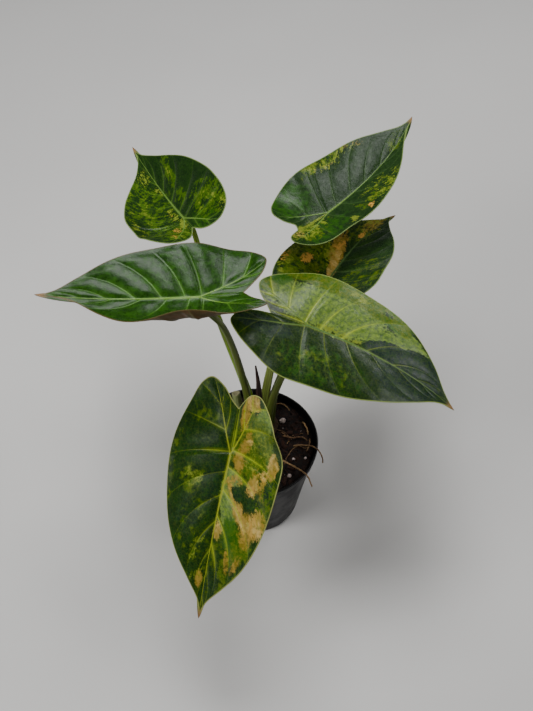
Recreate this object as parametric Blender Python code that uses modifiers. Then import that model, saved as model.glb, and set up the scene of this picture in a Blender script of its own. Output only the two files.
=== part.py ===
"""A variegated alocasia wentii growing in a round nursery pot, in metres with +Z up.

The origin is the middle of the pot's flat base, and the lowest leaf hangs over the -Y side.
Sizes below are in millimetres and degrees, and MM turns millimetres into metres.
"""

import math
import random
from dataclasses import dataclass

import bmesh
import bpy
import numpy as np
from mathutils import Euler, Matrix, Vector

MM = 0.001
GAP = 0.3
WELD = 0.01
SMOOTH_BELOW = 40.0
HOLE_SIDES = 12

# Pot
RIM_RADIUS = 60.0
POT_HEIGHT = 100.0
BASE_RADIUS = 43.0
BAND_HEIGHT = 9.0
BAND_STEP = 2.0
LIP_WIDTH = 2.4
LIP_HEIGHT = 2.4
LIP_ROUND = 0.6
WALL = 1.2
FLOOR = 1.6
FOOT_ROUND = 2.0
POT_SIDES = 40
DRAIN_HOLES = 6
DRAIN_RADIUS = 4.5
DRAIN_CIRCLE = 31.0

# Potting mix
MIX_TOP = 92.0
MIX_RELIEF = 1.2
MIX_WAVES = (6.1, 8.3, 4.7)
MIX_RINGS = 7
LITTER_RADIUS = 50.0
LITTER_SPACING = 6.2
LITTER_CLEARANCE = 5.5
SEED = 11

# Bark chips, whose width, depth and lift are shares of their length
CHIP_COUNT = 44
CHIP_LENGTH = (4.5, 10.0)
CHIP_WIDTH = 0.55
CHIP_DEPTH = 0.32
CHIP_LIFT = 0.08
CHIP_TILT = 26.0

# White grains: the three that show best, as x, y and width, and the range of the others' width
LARGE_GRAINS = [(27.0, 26.0, 5.4), (37.0, -16.0, 2.8), (48.0, -15.0, 2.6)]
GRAIN_COUNT = 12
GRAIN_WIDTH = (2.0, 3.6)
GRAIN_LIFT = 0.2

# Roots on the surface: radius, then the route as x, y and height above the mix
ROOTS = [
    (1.0, [(21, -10, -4), (25, -17, 1.2), (36, -25, 3), (42, -32, 7.6), (46, -37, 10.6), (50, -42, 9.4),
           (53, -47, 3)]),
    (0.8, [(46, 28, -4), (47, 24, 1), (50, 17, 2.2), (51, 12, 1), (50, 7, -4)]),
    (0.8, [(52, 9, -4), (52.5, 5, 1), (51.5, -3, 2.5), (48, -10, 1), (46, -15, -4)]),
    (0.9, [(26, 12, -4), (29, 9, 1.2), (36, 6, 2.6), (44, 7, 2.4), (49, 5, 1.4), (50, 3, -4)]),
    (0.9, [(35, -1, -4), (39, -2, 1.5), (49, -4, 5), (55, -8.5, 9.8), (59.5, -13, 10.6), (63, -18, 8),
           (64, -22, 3)]),
    (0.8, [(20, 45, -4), (23, 46, 1.5), (28, 44, 3), (33, 40, 1), (35, 37, -4)]),
    (0.8, [(-30, 20, -4), (-34, 16, 1.2), (-42, 12, 2.5), (-46, 2, 1.2), (-45, -4, -4)]),
]
ROOT_STEPS = 3
ROOT_RESOLUTION = 1

# Stem base, which has a socket for each petiole
CROWN = (6.0, 21.0)
STEM_RADIUS = 17.0
STEM_TOP = 97.0
STEM_SHOULDER = 3.0
STEM_FOOT = 60.0
STEM_FOOT_ROUND = 7.0
STEM_SIDES = 24
SOCKET_FLOOR = 84.0
SOCKET_CIRCLE = 10.0

# Petioles
PETIOLE_FOOT_RADIUS = 4.2
PETIOLE_TOP_RADIUS = 2.3
PETIOLE_TAPER = 0.8
PETIOLE_STEPS = 4
COLLAR_HEIGHT = 5.0
STRAIGHT_END = 9.0
PETIOLE_TOP_GAP = 0.5
TUBE_RESOLUTION = 2

# Withered sheath in the middle of the crown: x and y from the middle, z, and radius
SHEATH = [(0, 0, 84.3, 3.4), (0, 0, 108, 3.6), (-1, 1, 135, 3.0), (-2, 2, 160, 1.9), (-4, 2, 184, 0.7)]
SHEATH_STEPS = 3

# Stub of a cut petiole, which stands in the mix behind the stem base
STUB_FOOT = (-12.5, 36.0, 78.0)
STUB_TOP = (-17.5, 45.5, 112.0)
STUB_RADIUS = 4.6

# Half of a blade's outline from the tip to the back lobe. Along is a share of the length, or of the lobe where it
# is negative, and across is a share of the half width. The outline ends at the sinus, where the lobes join.
HALF_OUTLINE = [
    (1.0, 0.0), (0.95, 0.035), (0.88, 0.12), (0.76, 0.37), (0.60, 0.66), (0.40, 0.88), (0.16, 1.0),
    (-0.20, 0.99), (-0.55, 0.86), (-0.85, 0.62), (-1.0, 0.38), (-0.93, 0.17), (-0.76, 0.045),
]
OUTLINE_STEPS = 8
BLADE_THICKNESS = 0.9
BLADE_SPOKES = 19
BLADE_RINGS = (0.2, 0.42, 0.63, 0.83, 1.0)
BEND_POWER = 1.3
LOBE_BLEND = 0.6
MARGIN_WAVES = 2
MIDRIB_STATIONS = 240
MIDRIB_SPARE = 1.2
LEAST_CURL = 0.001

# Colours: red, green, blue, then roughness
POT_BLACK = (0.012, 0.012, 0.013, 0.45)
MIX_BROWN = (0.055, 0.03, 0.017, 0.95)
STEM_BROWN = (0.16, 0.10, 0.045, 0.8)
PETIOLE_GREEN = (0.22, 0.29, 0.09, 0.45)
SHEATH_BROWN = (0.09, 0.035, 0.03, 0.7)
STUB_GREEN = (0.34, 0.36, 0.2, 0.6)
BLADE_GREEN = (0.05, 0.14, 0.03, 0.35)


@dataclass(frozen=True)
class Leaf:
    """Sizes and pose of one leaf. A pair gives the left half, seen from above along the heading, then the right."""

    number: int
    socket: float  # turn of the petiole's socket from +X round the crown
    route: tuple  # points that the petiole passes
    junction: tuple  # where the petiole meets the blade
    heading: float  # turn of the tip from +X, counter-clockwise
    pitch: float  # rise of the tip
    roll: float  # rise of the left half
    length: float  # junction to tip
    width: tuple  # midrib to margin
    lobe: tuple  # junction to the end of the back lobe
    sinus: float  # junction to the notch between the lobes
    front_taper: tuple  # above 1 is slimmer towards the tip
    lobe_taper: tuple  # above 1 is slimmer towards the lobe's end
    fold: tuple  # rise of the half beside the midrib
    curl: tuple  # further rise from there to the margin
    lobe_fold: tuple
    lobe_curl: tuple
    droop: float  # fall of the midrib towards the tip
    lobe_droop: float  # fall of the midrib towards the sinus
    sweep: float  # turn of the midrib to the left
    wave: float  # height of the waves in the margin
    wave_start: tuple


LEAVES = [
    Leaf(
        number=1, socket=135, route=((-8, 40, 130), (-34, 76, 196)), junction=(-60, 121, 268),
        heading=117, pitch=-15, roll=-30, length=128, width=(50, 47), lobe=(53, 40), sinus=20,
        front_taper=(1.7, 1.2), lobe_taper=(0.6, 0.7), fold=(0, 15), curl=(70, 0),
        lobe_fold=(35, -10), lobe_curl=(10, 30), droop=-15, lobe_droop=-20, sweep=-10,
        wave=1.0, wave_start=(0, 2),
    ),
    Leaf(
        number=2, socket=75, route=((14, 50, 132), (31, 108, 174), (49, 173, 208)), junction=(67, 145, 252),
        heading=45, pitch=0, roll=0, length=150, width=(46, 34), lobe=(50, 62), sinus=40,
        front_taper=(0.9, 1.7), lobe_taper=(0.7, 0.9), fold=(30, 10), curl=(-15, 10),
        lobe_fold=(15, -5), lobe_curl=(-20, 25), droop=-10, lobe_droop=-35, sweep=22,
        wave=1.2, wave_start=(1, 3),
    ),
    Leaf(
        number=3, socket=195, route=((-6, 22, 142), (-24, 24, 235)), junction=(-41, 14, 286),
        heading=186, pitch=2, roll=4, length=130, width=(54, 48), lobe=(54, 58), sinus=35,
        front_taper=(2.7, 1.0), lobe_taper=(0.6, 0.6), fold=(-18, 20), curl=(100, 0),
        lobe_fold=(5, 10), lobe_curl=(50, 0), droop=-5, lobe_droop=-20, sweep=-8,
        wave=1.0, wave_start=(0, 1),
    ),
    Leaf(
        number=4, socket=15, route=((20, 32, 135), (44, 64, 182)), junction=(68, 94, 220),
        heading=63, pitch=-6, roll=-3, length=128, width=(50, 50), lobe=(50, 52), sinus=25,
        front_taper=(1.3, 1.3), lobe_taper=(0.8, 0.9), fold=(5, 5), curl=(0, 30),
        lobe_fold=(10, 15), lobe_curl=(0, 25), droop=10, lobe_droop=20, sweep=-15,
        wave=1.2, wave_start=(2, 0),
    ),
    Leaf(
        number=5, socket=-45, route=((16, 14, 140), (28, 14, 190)), junction=(46, 20, 243),
        heading=-18, pitch=-11, roll=3, length=144, width=(51, 51), lobe=(52, 62), sinus=33,
        front_taper=(0.9, 1.0), lobe_taper=(0.6, 1.1), fold=(15, 0), curl=(-15, -20),
        lobe_fold=(5, 10), lobe_curl=(-10, -20), droop=22, lobe_droop=15, sweep=-10,
        wave=1.2, wave_start=(1, 0),
    ),
    Leaf(
        number=6, socket=-105, route=((0, -12, 140), (-8, -50, 182)), junction=(-17, -81, 205),
        heading=-107, pitch=-40, roll=6, length=143, width=(54, 54), lobe=(60, 56), sinus=38,
        front_taper=(1.1, 1.3), lobe_taper=(0.8, 0.7), fold=(10, 15), curl=(25, -45),
        lobe_fold=(25, -10), lobe_curl=(20, -15), droop=14, lobe_droop=-30, sweep=0,
        wave=1.2, wave_start=(0, 1),
    ),
]


def between(lower, upper, place, start, end):
    """The straight blend from start at lower to end at upper."""
    return ((upper - place) * start + (place - lower) * end) / (upper - lower)


def spline(points, steps):
    """Points along a smooth curve through the given ones (a centripetal Catmull-Rom spline)."""
    given = np.array(points, float)
    padded = np.vstack([2 * given[0] - given[1], given, 2 * given[-1] - given[-2]])
    curve = []
    for first in range(len(given) - 1):
        p = padded[first:first + 4]
        k = np.concatenate([[0.0], np.cumsum(np.linalg.norm(np.diff(p, axis=0), axis=1) ** 0.5)])
        t = np.linspace(k[1], k[2], steps, endpoint=False)[:, None]
        a = [between(k[i], k[i + 1], t, p[i], p[i + 1]) for i in range(3)]
        b = [between(k[i], k[i + 2], t, a[i], a[i + 1]) for i in range(2)]
        curve.append(between(k[1], k[2], t, b[0], b[1]))
    return np.vstack(curve + [given[-1:]])


def evenly(points, count):
    """The given polyline with count points, evenly spaced along it."""
    run = np.concatenate([[0.0], np.cumsum(np.linalg.norm(np.diff(points, axis=0), axis=1))])
    places = np.linspace(0.0, run[-1], count)
    return np.stack([np.interp(places, run, column) for column in points.T], axis=1)


def ease(value):
    """A smooth step from 0 to 1."""
    t = np.clip(value, 0.0, 1.0)
    return t * t * (3 - 2 * t)


def half_outline(leaf, side):
    """The flat outline of one half from tip to sinus. Side 0 is the left half, side 1 the right."""
    points = []
    for along, across in HALF_OUTLINE:
        reach = leaf.length if along > 0 else leaf.lobe[side]
        taper = leaf.front_taper[side] if along > 0 else leaf.lobe_taper[side]
        points.append((along * reach, across ** taper * leaf.width[side]))
    points.append((-leaf.sinus, 0.0))
    curve = spline(points, OUTLINE_STEPS)
    curve[:, 1] = np.maximum(curve[:, 1], 0.0) * (1 if side == 0 else -1)
    return curve


def bend_blade(leaf, along, across):
    """Where points of the flat blade lie once it is bent, in the blade's own axes, with the junction at 0."""
    back = max(leaf.lobe)
    station = np.linspace(-MIDRIB_SPARE * back, MIDRIB_SPARE * leaf.length, MIDRIB_STATIONS)
    forward = np.clip(station / leaf.length, 0.0, None) ** BEND_POWER
    backward = np.clip(-station / back, 0.0, None) ** BEND_POWER
    dip = np.radians(leaf.lobe_droop * backward - leaf.droop * forward)
    turn = np.radians(leaf.sweep * forward)
    heading = np.stack([np.cos(dip) * np.cos(turn), np.sin(turn), np.sin(dip)], axis=1)
    midrib = np.cumsum(heading * (station[1] - station[0]), axis=0)
    midrib -= [np.interp(0.0, station, column) for column in midrib.T]
    rib = np.stack([np.interp(along, station, column) for column in midrib.T], axis=1)
    dip = np.interp(along, station, dip)
    turn = np.interp(along, station, turn)

    side = np.where(across >= 0, 0, 1)
    lobed = ease(-along / (LOBE_BLEND * back))
    width = np.array(leaf.width)[side]
    fold = np.radians(between(0.0, 1.0, lobed, np.array(leaf.fold)[side], np.array(leaf.lobe_fold)[side]))
    curl = np.radians(between(0.0, 1.0, lobed, np.array(leaf.curl)[side], np.array(leaf.lobe_curl)[side]))
    curl = np.where(np.abs(curl) < LEAST_CURL, LEAST_CURL, curl) / width
    reach = np.abs(across)
    slope = fold + curl * reach
    out = (np.sin(slope) - np.sin(fold)) / curl * np.where(across >= 0, 1, -1)
    rise = (np.cos(fold) - np.cos(slope)) / curl
    ripple = np.sin(math.tau * MARGIN_WAVES * along / leaf.length + np.array(leaf.wave_start)[side])
    rise = rise + leaf.wave * (reach / width) ** 2 * ripple
    left = np.stack([-np.sin(turn) * np.cos(dip), np.cos(turn), -np.sin(turn) * np.sin(dip)], axis=1)
    up = np.stack([-np.sin(dip), np.zeros_like(dip), np.cos(dip)], axis=1)
    return rib + left * out[:, None] + up * rise[:, None]


def blade_pose(leaf):
    """The blade's turn: roll about its midrib, pitch, then heading."""
    return Euler((math.radians(leaf.roll), math.radians(-leaf.pitch), math.radians(leaf.heading)))


def clear_scene():
    for item in list(bpy.data.objects):
        bpy.data.objects.remove(item, do_unlink=True)


def new_collection(name, parent=None):
    collection = bpy.data.collections.new(name)
    (parent or bpy.context.scene.collection).children.link(collection)
    return collection


def new_material(name, colour):
    material = bpy.data.materials.new(name)
    material.use_nodes = True
    shader = material.node_tree.nodes["Principled BSDF"]
    shader.inputs["Base Color"].default_value = (*colour[:3], 1.0)
    shader.inputs["Roughness"].default_value = colour[3]
    shader.inputs["Metallic"].default_value = 0.0
    material.diffuse_color = (*colour[:3], 1.0)
    return material


def new_object(name, data, collection, material=None):
    item = bpy.data.objects.new(name, data)
    collection.objects.link(item)
    if material:
        data.materials.append(material)
    return item


def mesh_object(name, form, collection, material=None):
    """An object from a bmesh in millimetres."""
    bmesh.ops.scale(form, vec=(MM, MM, MM), verts=form.verts)
    mesh = bpy.data.meshes.new(name)
    form.to_mesh(mesh)
    form.free()
    return new_object(name, mesh, collection, material)


def as_cutter(item):
    item.hide_render = True
    item.display_type = "WIRE"


def smooth(mesh):
    mesh.shade_smooth()
    mesh.set_sharp_from_angle(angle=math.radians(SMOOTH_BELOW))


def evaluated_mesh(item):
    graph = bpy.context.evaluated_depsgraph_get()
    graph.update()
    return bpy.data.meshes.new_from_object(item.evaluated_get(graph), depsgraph=graph)


def apply_modifiers(item):
    item.data = evaluated_mesh(item)
    item.modifiers.clear()


def turned(name, profile, sides, collection, material):
    """A solid turned about Z from a profile of (radius, height) that runs down its outer side."""
    mesh = bpy.data.meshes.new(name)
    points = [(radius * MM, 0.0, height * MM) for radius, height in profile]
    mesh.from_pydata(points, [(i, i + 1) for i in range(len(points) - 1)], [])
    item = new_object(name, mesh, collection, material)
    screw = item.modifiers.new("turn", "SCREW")
    screw.steps = sides
    screw.render_steps = sides
    screw.use_merge_vertices = True
    screw.merge_threshold = WELD * MM
    return item


def tube(name, route, radii, collection, material=None, resolution=TUBE_RESOLUTION):
    """A round tube with filled ends along a route in millimetres."""
    curve = bpy.data.curves.new(name, "CURVE")
    curve.dimensions = "3D"
    curve.bevel_depth = MM
    curve.bevel_resolution = resolution
    curve.use_fill_caps = True
    line = curve.splines.new("POLY")
    line.points.add(len(route) - 1)
    for point, place, radius in zip(line.points, route, radii):
        point.co = (*(np.array(place, float) * MM), 1.0)
        point.radius = radius
    return new_object(name, curve, collection, material)


def cut(item, cutters, operation="DIFFERENCE"):
    modifier = item.modifiers.new(operation.lower(), "BOOLEAN")
    modifier.operation = operation
    modifier.operand_type = "COLLECTION"
    modifier.collection = cutters
    modifier.solver = "EXACT"


def rod(form, place, axis, radius, length, sides=HOLE_SIDES):
    """Adds a cylinder that starts at place and runs along axis."""
    direction = Vector(axis).normalized()
    turn = Vector((0, 0, 1)).rotation_difference(direction).to_matrix().to_4x4()
    middle = Matrix.Translation(Vector(place) + direction * length / 2)
    bmesh.ops.create_cone(form, cap_ends=True, segments=sides, radius1=radius, radius2=radius, depth=length,
                          matrix=middle @ turn)


def wall_radius(height):
    """Outer radius of the pot's wall below the band."""
    band_foot = POT_HEIGHT - BAND_HEIGHT
    return between(0.0, band_foot, height, BASE_RADIUS, RIM_RADIUS - BAND_STEP - WALL)


def inner_radius(height):
    """Inner radius of the pot's wall."""
    return wall_radius(height) - WALL


def build_pot(parts, cutters):
    band_foot = POT_HEIGHT - BAND_HEIGHT
    profile = [
        (0.0, FLOOR),
        (inner_radius(FLOOR), FLOOR),
        (inner_radius(band_foot), band_foot),
        (RIM_RADIUS - LIP_WIDTH, POT_HEIGHT - LIP_ROUND),
        (RIM_RADIUS - LIP_WIDTH + LIP_ROUND, POT_HEIGHT),
        (RIM_RADIUS - LIP_ROUND, POT_HEIGHT),
        (RIM_RADIUS, POT_HEIGHT - LIP_ROUND),
        (RIM_RADIUS, POT_HEIGHT - LIP_HEIGHT),
        (RIM_RADIUS - WALL, POT_HEIGHT - LIP_HEIGHT - LIP_ROUND),
        (RIM_RADIUS - WALL, band_foot),
        (wall_radius(band_foot - WALL), band_foot - WALL),
        (wall_radius(FOOT_ROUND), FOOT_ROUND),
        (BASE_RADIUS - FOOT_ROUND, 0.0),
        (0.0, 0.0),
    ]
    pot = turned("pot", profile, POT_SIDES, parts, new_material("black_plastic", POT_BLACK))
    form = bmesh.new()
    for hole in range(DRAIN_HOLES):
        angle = math.tau * hole / DRAIN_HOLES
        place = (DRAIN_CIRCLE * math.cos(angle), DRAIN_CIRCLE * math.sin(angle), -FLOOR)
        rod(form, place, (0, 0, 1), DRAIN_RADIUS, 3 * FLOOR)
    as_cutter(mesh_object("drain_holes", form, cutters))
    cut(pot, cutters)
    apply_modifiers(pot)
    smooth(pot.data)


def relief(x, y):
    """Height of the mix's uneven top, which is level at the pot's wall."""
    middle = 1 - min(1.0, math.hypot(x, y) / inner_radius(MIX_TOP)) ** 4
    long_x, long_y, short = MIX_WAVES
    return MIX_RELIEF * middle * (math.sin(x / long_x) * math.cos(y / long_y) + math.sin((x + y) / short) / 2)


def litter_places(count, draw):
    """Seeded places on the mix, apart from each other and clear of the crown and the stub."""
    stub_room = STUB_RADIUS + LITTER_CLEARANCE
    taken = [(*CROWN, STEM_RADIUS + LITTER_CLEARANCE), (*STUB_TOP[:2], stub_room), (*STUB_FOOT[:2], stub_room)]
    places = []
    while len(places) < count:
        reach = LITTER_RADIUS * math.sqrt(draw.random())
        angle = math.tau * draw.random()
        x, y = reach * math.cos(angle), reach * math.sin(angle)
        if all(math.hypot(x - a, y - b) > room for a, b, room in taken):
            places.append((x, y))
            taken.append((x, y, LITTER_SPACING))
    return places


def build_chip(name, x, y, draw, pieces):
    long = draw.uniform(*CHIP_LENGTH)
    tilt = math.radians(CHIP_TILT)
    turn = Euler((draw.uniform(-tilt, tilt), draw.uniform(-tilt, tilt), draw.uniform(0, math.tau)))
    place = Matrix.Translation((x, y, MIX_TOP + relief(x, y) + CHIP_LIFT * long))
    shape = Matrix.Diagonal((long, CHIP_WIDTH * long, CHIP_DEPTH * long, 1))
    form = bmesh.new()
    bmesh.ops.create_cube(form, size=1.0, matrix=place @ turn.to_matrix().to_4x4() @ shape)
    as_cutter(mesh_object(name, form, pieces))


def build_grain(name, x, y, width, pieces):
    place = Matrix.Translation((x, y, MIX_TOP + relief(x, y) + GRAIN_LIFT * width))
    form = bmesh.new()
    bmesh.ops.create_icosphere(form, subdivisions=1, radius=width / 2, matrix=place)
    as_cutter(mesh_object(name, form, pieces))


def build_root(name, radius, route, pieces):
    """A surface root as a welded mesh, because a curve takes part in no Boolean."""
    points = spline([(x, y, MIX_TOP + height) for x, y, height in route], ROOT_STEPS)
    curve = tube(f"{name}_curve", points, [radius] * len(points), pieces, resolution=ROOT_RESOLUTION)
    mesh = evaluated_mesh(curve)
    bpy.data.objects.remove(curve)
    form = bmesh.new()
    form.from_mesh(mesh)
    bmesh.ops.remove_doubles(form, verts=form.verts, dist=WELD * MM)
    form.to_mesh(mesh)
    form.free()
    as_cutter(new_object(name, mesh, pieces))


def build_litter(pieces):
    """Bark chips, white grains and surface roots, sunk into the top of the mix."""
    draw = random.Random(SEED)
    places = litter_places(CHIP_COUNT + GRAIN_COUNT, draw)
    for number, (x, y) in enumerate(places[:CHIP_COUNT]):
        build_chip(f"chip_{number}", x, y, draw, pieces)
    grains = [(x, y, draw.uniform(*GRAIN_WIDTH)) for x, y in places[CHIP_COUNT:]]
    for number, (x, y, width) in enumerate(LARGE_GRAINS + grains):
        build_grain(f"grain_{number}", x, y, width, pieces)
    for number, (radius, route) in enumerate(ROOTS):
        build_root(f"root_{number}", radius, route, pieces)


def build_mix(parts, cutters):
    edge = inner_radius(MIX_TOP) - GAP
    profile = [(edge * ring / MIX_RINGS, MIX_TOP) for ring in range(MIX_RINGS + 1)]
    profile += [(inner_radius(FLOOR + GAP) - GAP, FLOOR + GAP), (0.0, FLOOR + GAP)]
    mix = turned("potting_mix", profile, POT_SIDES, parts, new_material("bark_mix", MIX_BROWN))
    apply_modifiers(mix)
    for point in mix.data.vertices:
        if point.co.z > STEM_FOOT * MM:
            point.co.z += relief(point.co.x / MM, point.co.y / MM) * MM

    pieces = new_collection("mix_pieces")
    build_litter(pieces)
    cut(mix, pieces, "UNION")
    apply_modifiers(mix)
    for piece in list(pieces.objects):
        bpy.data.objects.remove(piece)
    bpy.data.collections.remove(pieces)

    form = bmesh.new()
    foot = STEM_FOOT - GAP
    rod(form, (*CROWN, foot), (0, 0, 1), STEM_RADIUS + GAP, POT_HEIGHT - foot, STEM_SIDES)
    lean = Vector(STUB_TOP) - Vector(STUB_FOOT)
    foot = Vector(STUB_FOOT) - GAP * lean.normalized()
    rod(form, foot, lean, STUB_RADIUS + 2 * GAP, lean.length + GAP)
    as_cutter(mesh_object("stem_holes", form, cutters))
    cut(mix, cutters)
    apply_modifiers(mix)


def socket(leaf):
    """Middle of a petiole's socket, as x and y."""
    angle = math.radians(leaf.socket)
    return CROWN[0] + SOCKET_CIRCLE * math.cos(angle), CROWN[1] + SOCKET_CIRCLE * math.sin(angle)


def build_stem_base(parts, cutters):
    profile = [
        (0.0, STEM_TOP),
        (STEM_RADIUS - STEM_SHOULDER, STEM_TOP),
        (STEM_RADIUS, STEM_TOP - STEM_SHOULDER),
        (STEM_RADIUS, STEM_FOOT + STEM_FOOT_ROUND),
        (STEM_RADIUS - STEM_FOOT_ROUND, STEM_FOOT),
        (0.0, STEM_FOOT),
    ]
    stem = turned("stem_base", profile, STEM_SIDES, parts, new_material("brown_stem", STEM_BROWN))
    stem.location = (CROWN[0] * MM, CROWN[1] * MM, 0.0)
    form = bmesh.new()
    for x, y in [CROWN] + [socket(leaf) for leaf in LEAVES]:
        rod(form, (x, y, SOCKET_FLOOR), (0, 0, 1), PETIOLE_FOOT_RADIUS + GAP, POT_HEIGHT - SOCKET_FLOOR)
    as_cutter(mesh_object("sockets", form, cutters))
    cut(stem, cutters)


def build_petiole(leaf, parts, material):
    up = np.array(blade_pose(leaf).to_matrix() @ Vector((0, 0, 1)))
    sag = PETIOLE_TOP_RADIUS * math.sin(math.radians(max(0.0, -min(leaf.fold))))
    end = np.array(leaf.junction, float) - up * (BLADE_THICKNESS / 2 + PETIOLE_TOP_GAP + sag)
    x, y = socket(leaf)
    foot = [(x, y, SOCKET_FLOOR + GAP), (x, y, STEM_TOP), (x, y, STEM_TOP + COLLAR_HEIGHT)]
    way = spline([foot[-1], *leaf.route, end - up * STRAIGHT_END, end], PETIOLE_STEPS)
    route = np.vstack([foot[:-1], way])
    share = np.linspace(0.0, 1.0, len(way)) ** PETIOLE_TAPER
    radii = [PETIOLE_FOOT_RADIUS] * 2 + list(between(0.0, 1.0, share, PETIOLE_FOOT_RADIUS, PETIOLE_TOP_RADIUS))
    tube(f"petiole_{leaf.number}", route, radii, parts, material)


def build_blade(leaf, parts, material):
    """The blade, in triangles between rings round the junction, with the same split on both faces."""
    left = evenly(half_outline(leaf, 0), BLADE_SPOKES)
    right = evenly(half_outline(leaf, 1), BLADE_SPOKES)
    margin = np.vstack([left, right[-2:0:-1]])
    flat = np.vstack([np.zeros((1, 2))] + [margin * share for share in BLADE_RINGS])
    bent = bend_blade(leaf, flat[:, 0], flat[:, 1])
    spokes = len(margin)
    form = bmesh.new()
    points = [form.verts.new(place) for place in bent]
    for spoke in range(spokes):
        following = (spoke + 1) % spokes
        form.faces.new((points[0], points[1 + spoke], points[1 + following]))
        for ring in range(len(BLADE_RINGS) - 1):
            inner = 1 + ring * spokes
            outer = inner + spokes
            near, far = (spoke, following) if spoke < spokes // 2 else (following, spoke)
            form.faces.new((points[inner + near], points[outer + near], points[outer + far]))
            form.faces.new((points[inner + near], points[outer + far], points[inner + far]))
    bmesh.ops.recalc_face_normals(form, faces=form.faces)
    if form.faces[0].normal.z < 0:
        bmesh.ops.reverse_faces(form, faces=form.faces)
    blade = mesh_object(f"leaf_{leaf.number}", form, parts, material)
    blade.location = Vector(leaf.junction) * MM
    blade.rotation_euler = blade_pose(leaf)
    smooth(blade.data)
    shell = blade.modifiers.new("thickness", "SOLIDIFY")
    shell.thickness = BLADE_THICKNESS * MM
    shell.offset = 0.0


def build_sheath(parts):
    route = [(CROWN[0] + x, CROWN[1] + y, z, radius) for x, y, z, radius in SHEATH]
    way = spline(route, SHEATH_STEPS)
    tube("withered_sheath", way[:, :3], way[:, 3], parts, new_material("dry_sheath", SHEATH_BROWN))


def build_stub(parts):
    form = bmesh.new()
    lean = Vector(STUB_TOP) - Vector(STUB_FOOT)
    rod(form, STUB_FOOT, lean, STUB_RADIUS, lean.length)
    stub = mesh_object("cut_petiole", form, parts, new_material("cut_green", STUB_GREEN))
    smooth(stub.data)


def main():
    clear_scene()
    parts = new_collection("alocasia_wentii")
    cutters = new_collection("cutters")
    build_pot(parts, new_collection("pot_cutters", cutters))
    build_mix(parts, new_collection("mix_cutters", cutters))
    build_stem_base(parts, new_collection("stem_cutters", cutters))
    build_sheath(parts)
    build_stub(parts)
    petiole_green = new_material("green_petiole", PETIOLE_GREEN)
    blade_green = new_material("variegated_blade", BLADE_GREEN)
    for leaf in LEAVES:
        build_petiole(leaf, parts, petiole_green)
        build_blade(leaf, parts, blade_green)


main()
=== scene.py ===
"""A variegated alocasia wentii in a round nursery pot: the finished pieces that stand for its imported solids.

Lengths in the tables are millimetres and angles are degrees, and MM turns millimetres into metres. Colours are
linear red, green and blue.
"""
import math
import random
from dataclasses import dataclass, field

import bmesh
import bpy
import numpy as np
from bpy.props import FloatProperty, FloatVectorProperty, IntProperty, PointerProperty
from bpy.types import Operator, Panel, PropertyGroup
from mathutils import Euler, Matrix, Vector
from mathutils import noise as hills


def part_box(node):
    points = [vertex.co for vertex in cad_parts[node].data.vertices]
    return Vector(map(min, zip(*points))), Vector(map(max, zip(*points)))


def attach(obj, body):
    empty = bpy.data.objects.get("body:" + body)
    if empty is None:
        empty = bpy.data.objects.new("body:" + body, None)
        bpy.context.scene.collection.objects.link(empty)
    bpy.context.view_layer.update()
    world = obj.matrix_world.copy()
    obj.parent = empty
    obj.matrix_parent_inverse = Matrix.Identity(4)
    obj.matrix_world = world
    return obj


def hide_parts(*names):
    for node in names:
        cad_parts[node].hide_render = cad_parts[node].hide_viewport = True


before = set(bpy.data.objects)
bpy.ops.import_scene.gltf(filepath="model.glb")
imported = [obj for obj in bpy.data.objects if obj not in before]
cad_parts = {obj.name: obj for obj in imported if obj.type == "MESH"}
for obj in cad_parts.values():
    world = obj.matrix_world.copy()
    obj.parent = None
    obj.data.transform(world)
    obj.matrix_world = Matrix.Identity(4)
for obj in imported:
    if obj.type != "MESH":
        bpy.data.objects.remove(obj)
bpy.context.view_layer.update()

bl_info = {
    "name": "Potted alocasia wentii",
    "version": (1, 0, 0),
    "blender": (4, 5, 0),
    "location": "3D View > Sidebar > Alocasia",
    "description": "Builds the blades, petioles, pot and potting mix of a variegated alocasia wentii",
    "category": "Object",
}

MM = 0.001
BODY = "root"
SEED = 11
TINY = 1e-6
MERGE = 0.004  # points that lie closer become one
SLIVER = 0.001  # shorter edges are dissolved

# Pot
POT_SIDES = 144
BAND_STEP = 2.0  # how far the band stands out from the wall
LIP_RADIUS = 1.2
LIP_TURN = (170, -61, -23)  # start, end and step of the rolled rim's turn
FLOOR_TOP = 1.8
FLOOR_UNDERSIDE = 0.8
FLOOR_RADII = (0.05, 30.0)
HOLE_COUNT = 6
HOLE_CIRCLE = 31.0  # radius of the circle that the holes stand on
HOLE_RADIUS = 4.5
HOLE_DEPTH = 6.0
HOLE_SIDES = 28

# Potting mix: the same uneven top, litter and roots as the solid's
MIX_RELIEF = 1.2
MIX_WAVES = (6.1, 8.3, 4.7)  # along x, along y and slanting
LUMPS = [(1.1, 0.22, 0.0), (0.7, 0.6, 5.0), (0.35, 1.7, 9.0)]  # height, scale and shift of each noise
LUMPS_FADE = 4.0  # width of the level strip at the wall
LITTER_RADIUS = 50.0
LITTER_SPACING = 6.2
LITTER_CLEARANCE = 5.5
CHIP_COUNT = 44
CHIP_LENGTH = (4.5, 10.0)
CHIP_WIDTH = 0.55
CHIP_DEPTH = 0.32
CHIP_LIFT = 0.08
CHIP_TILT = 26.0
LARGE_GRAINS = [  # x, y and width
    (27.0, 26.0, 5.4), (37.0, -16.0, 2.8), (48.0, -15.0, 2.6),
]
GRAIN_COUNT = 12
WHITE_GRAINS = 5  # the other grains are stained as dark as the bark
GRAIN_WIDTH = (2.0, 3.6)
GRAIN_LIFT = 0.2
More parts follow.
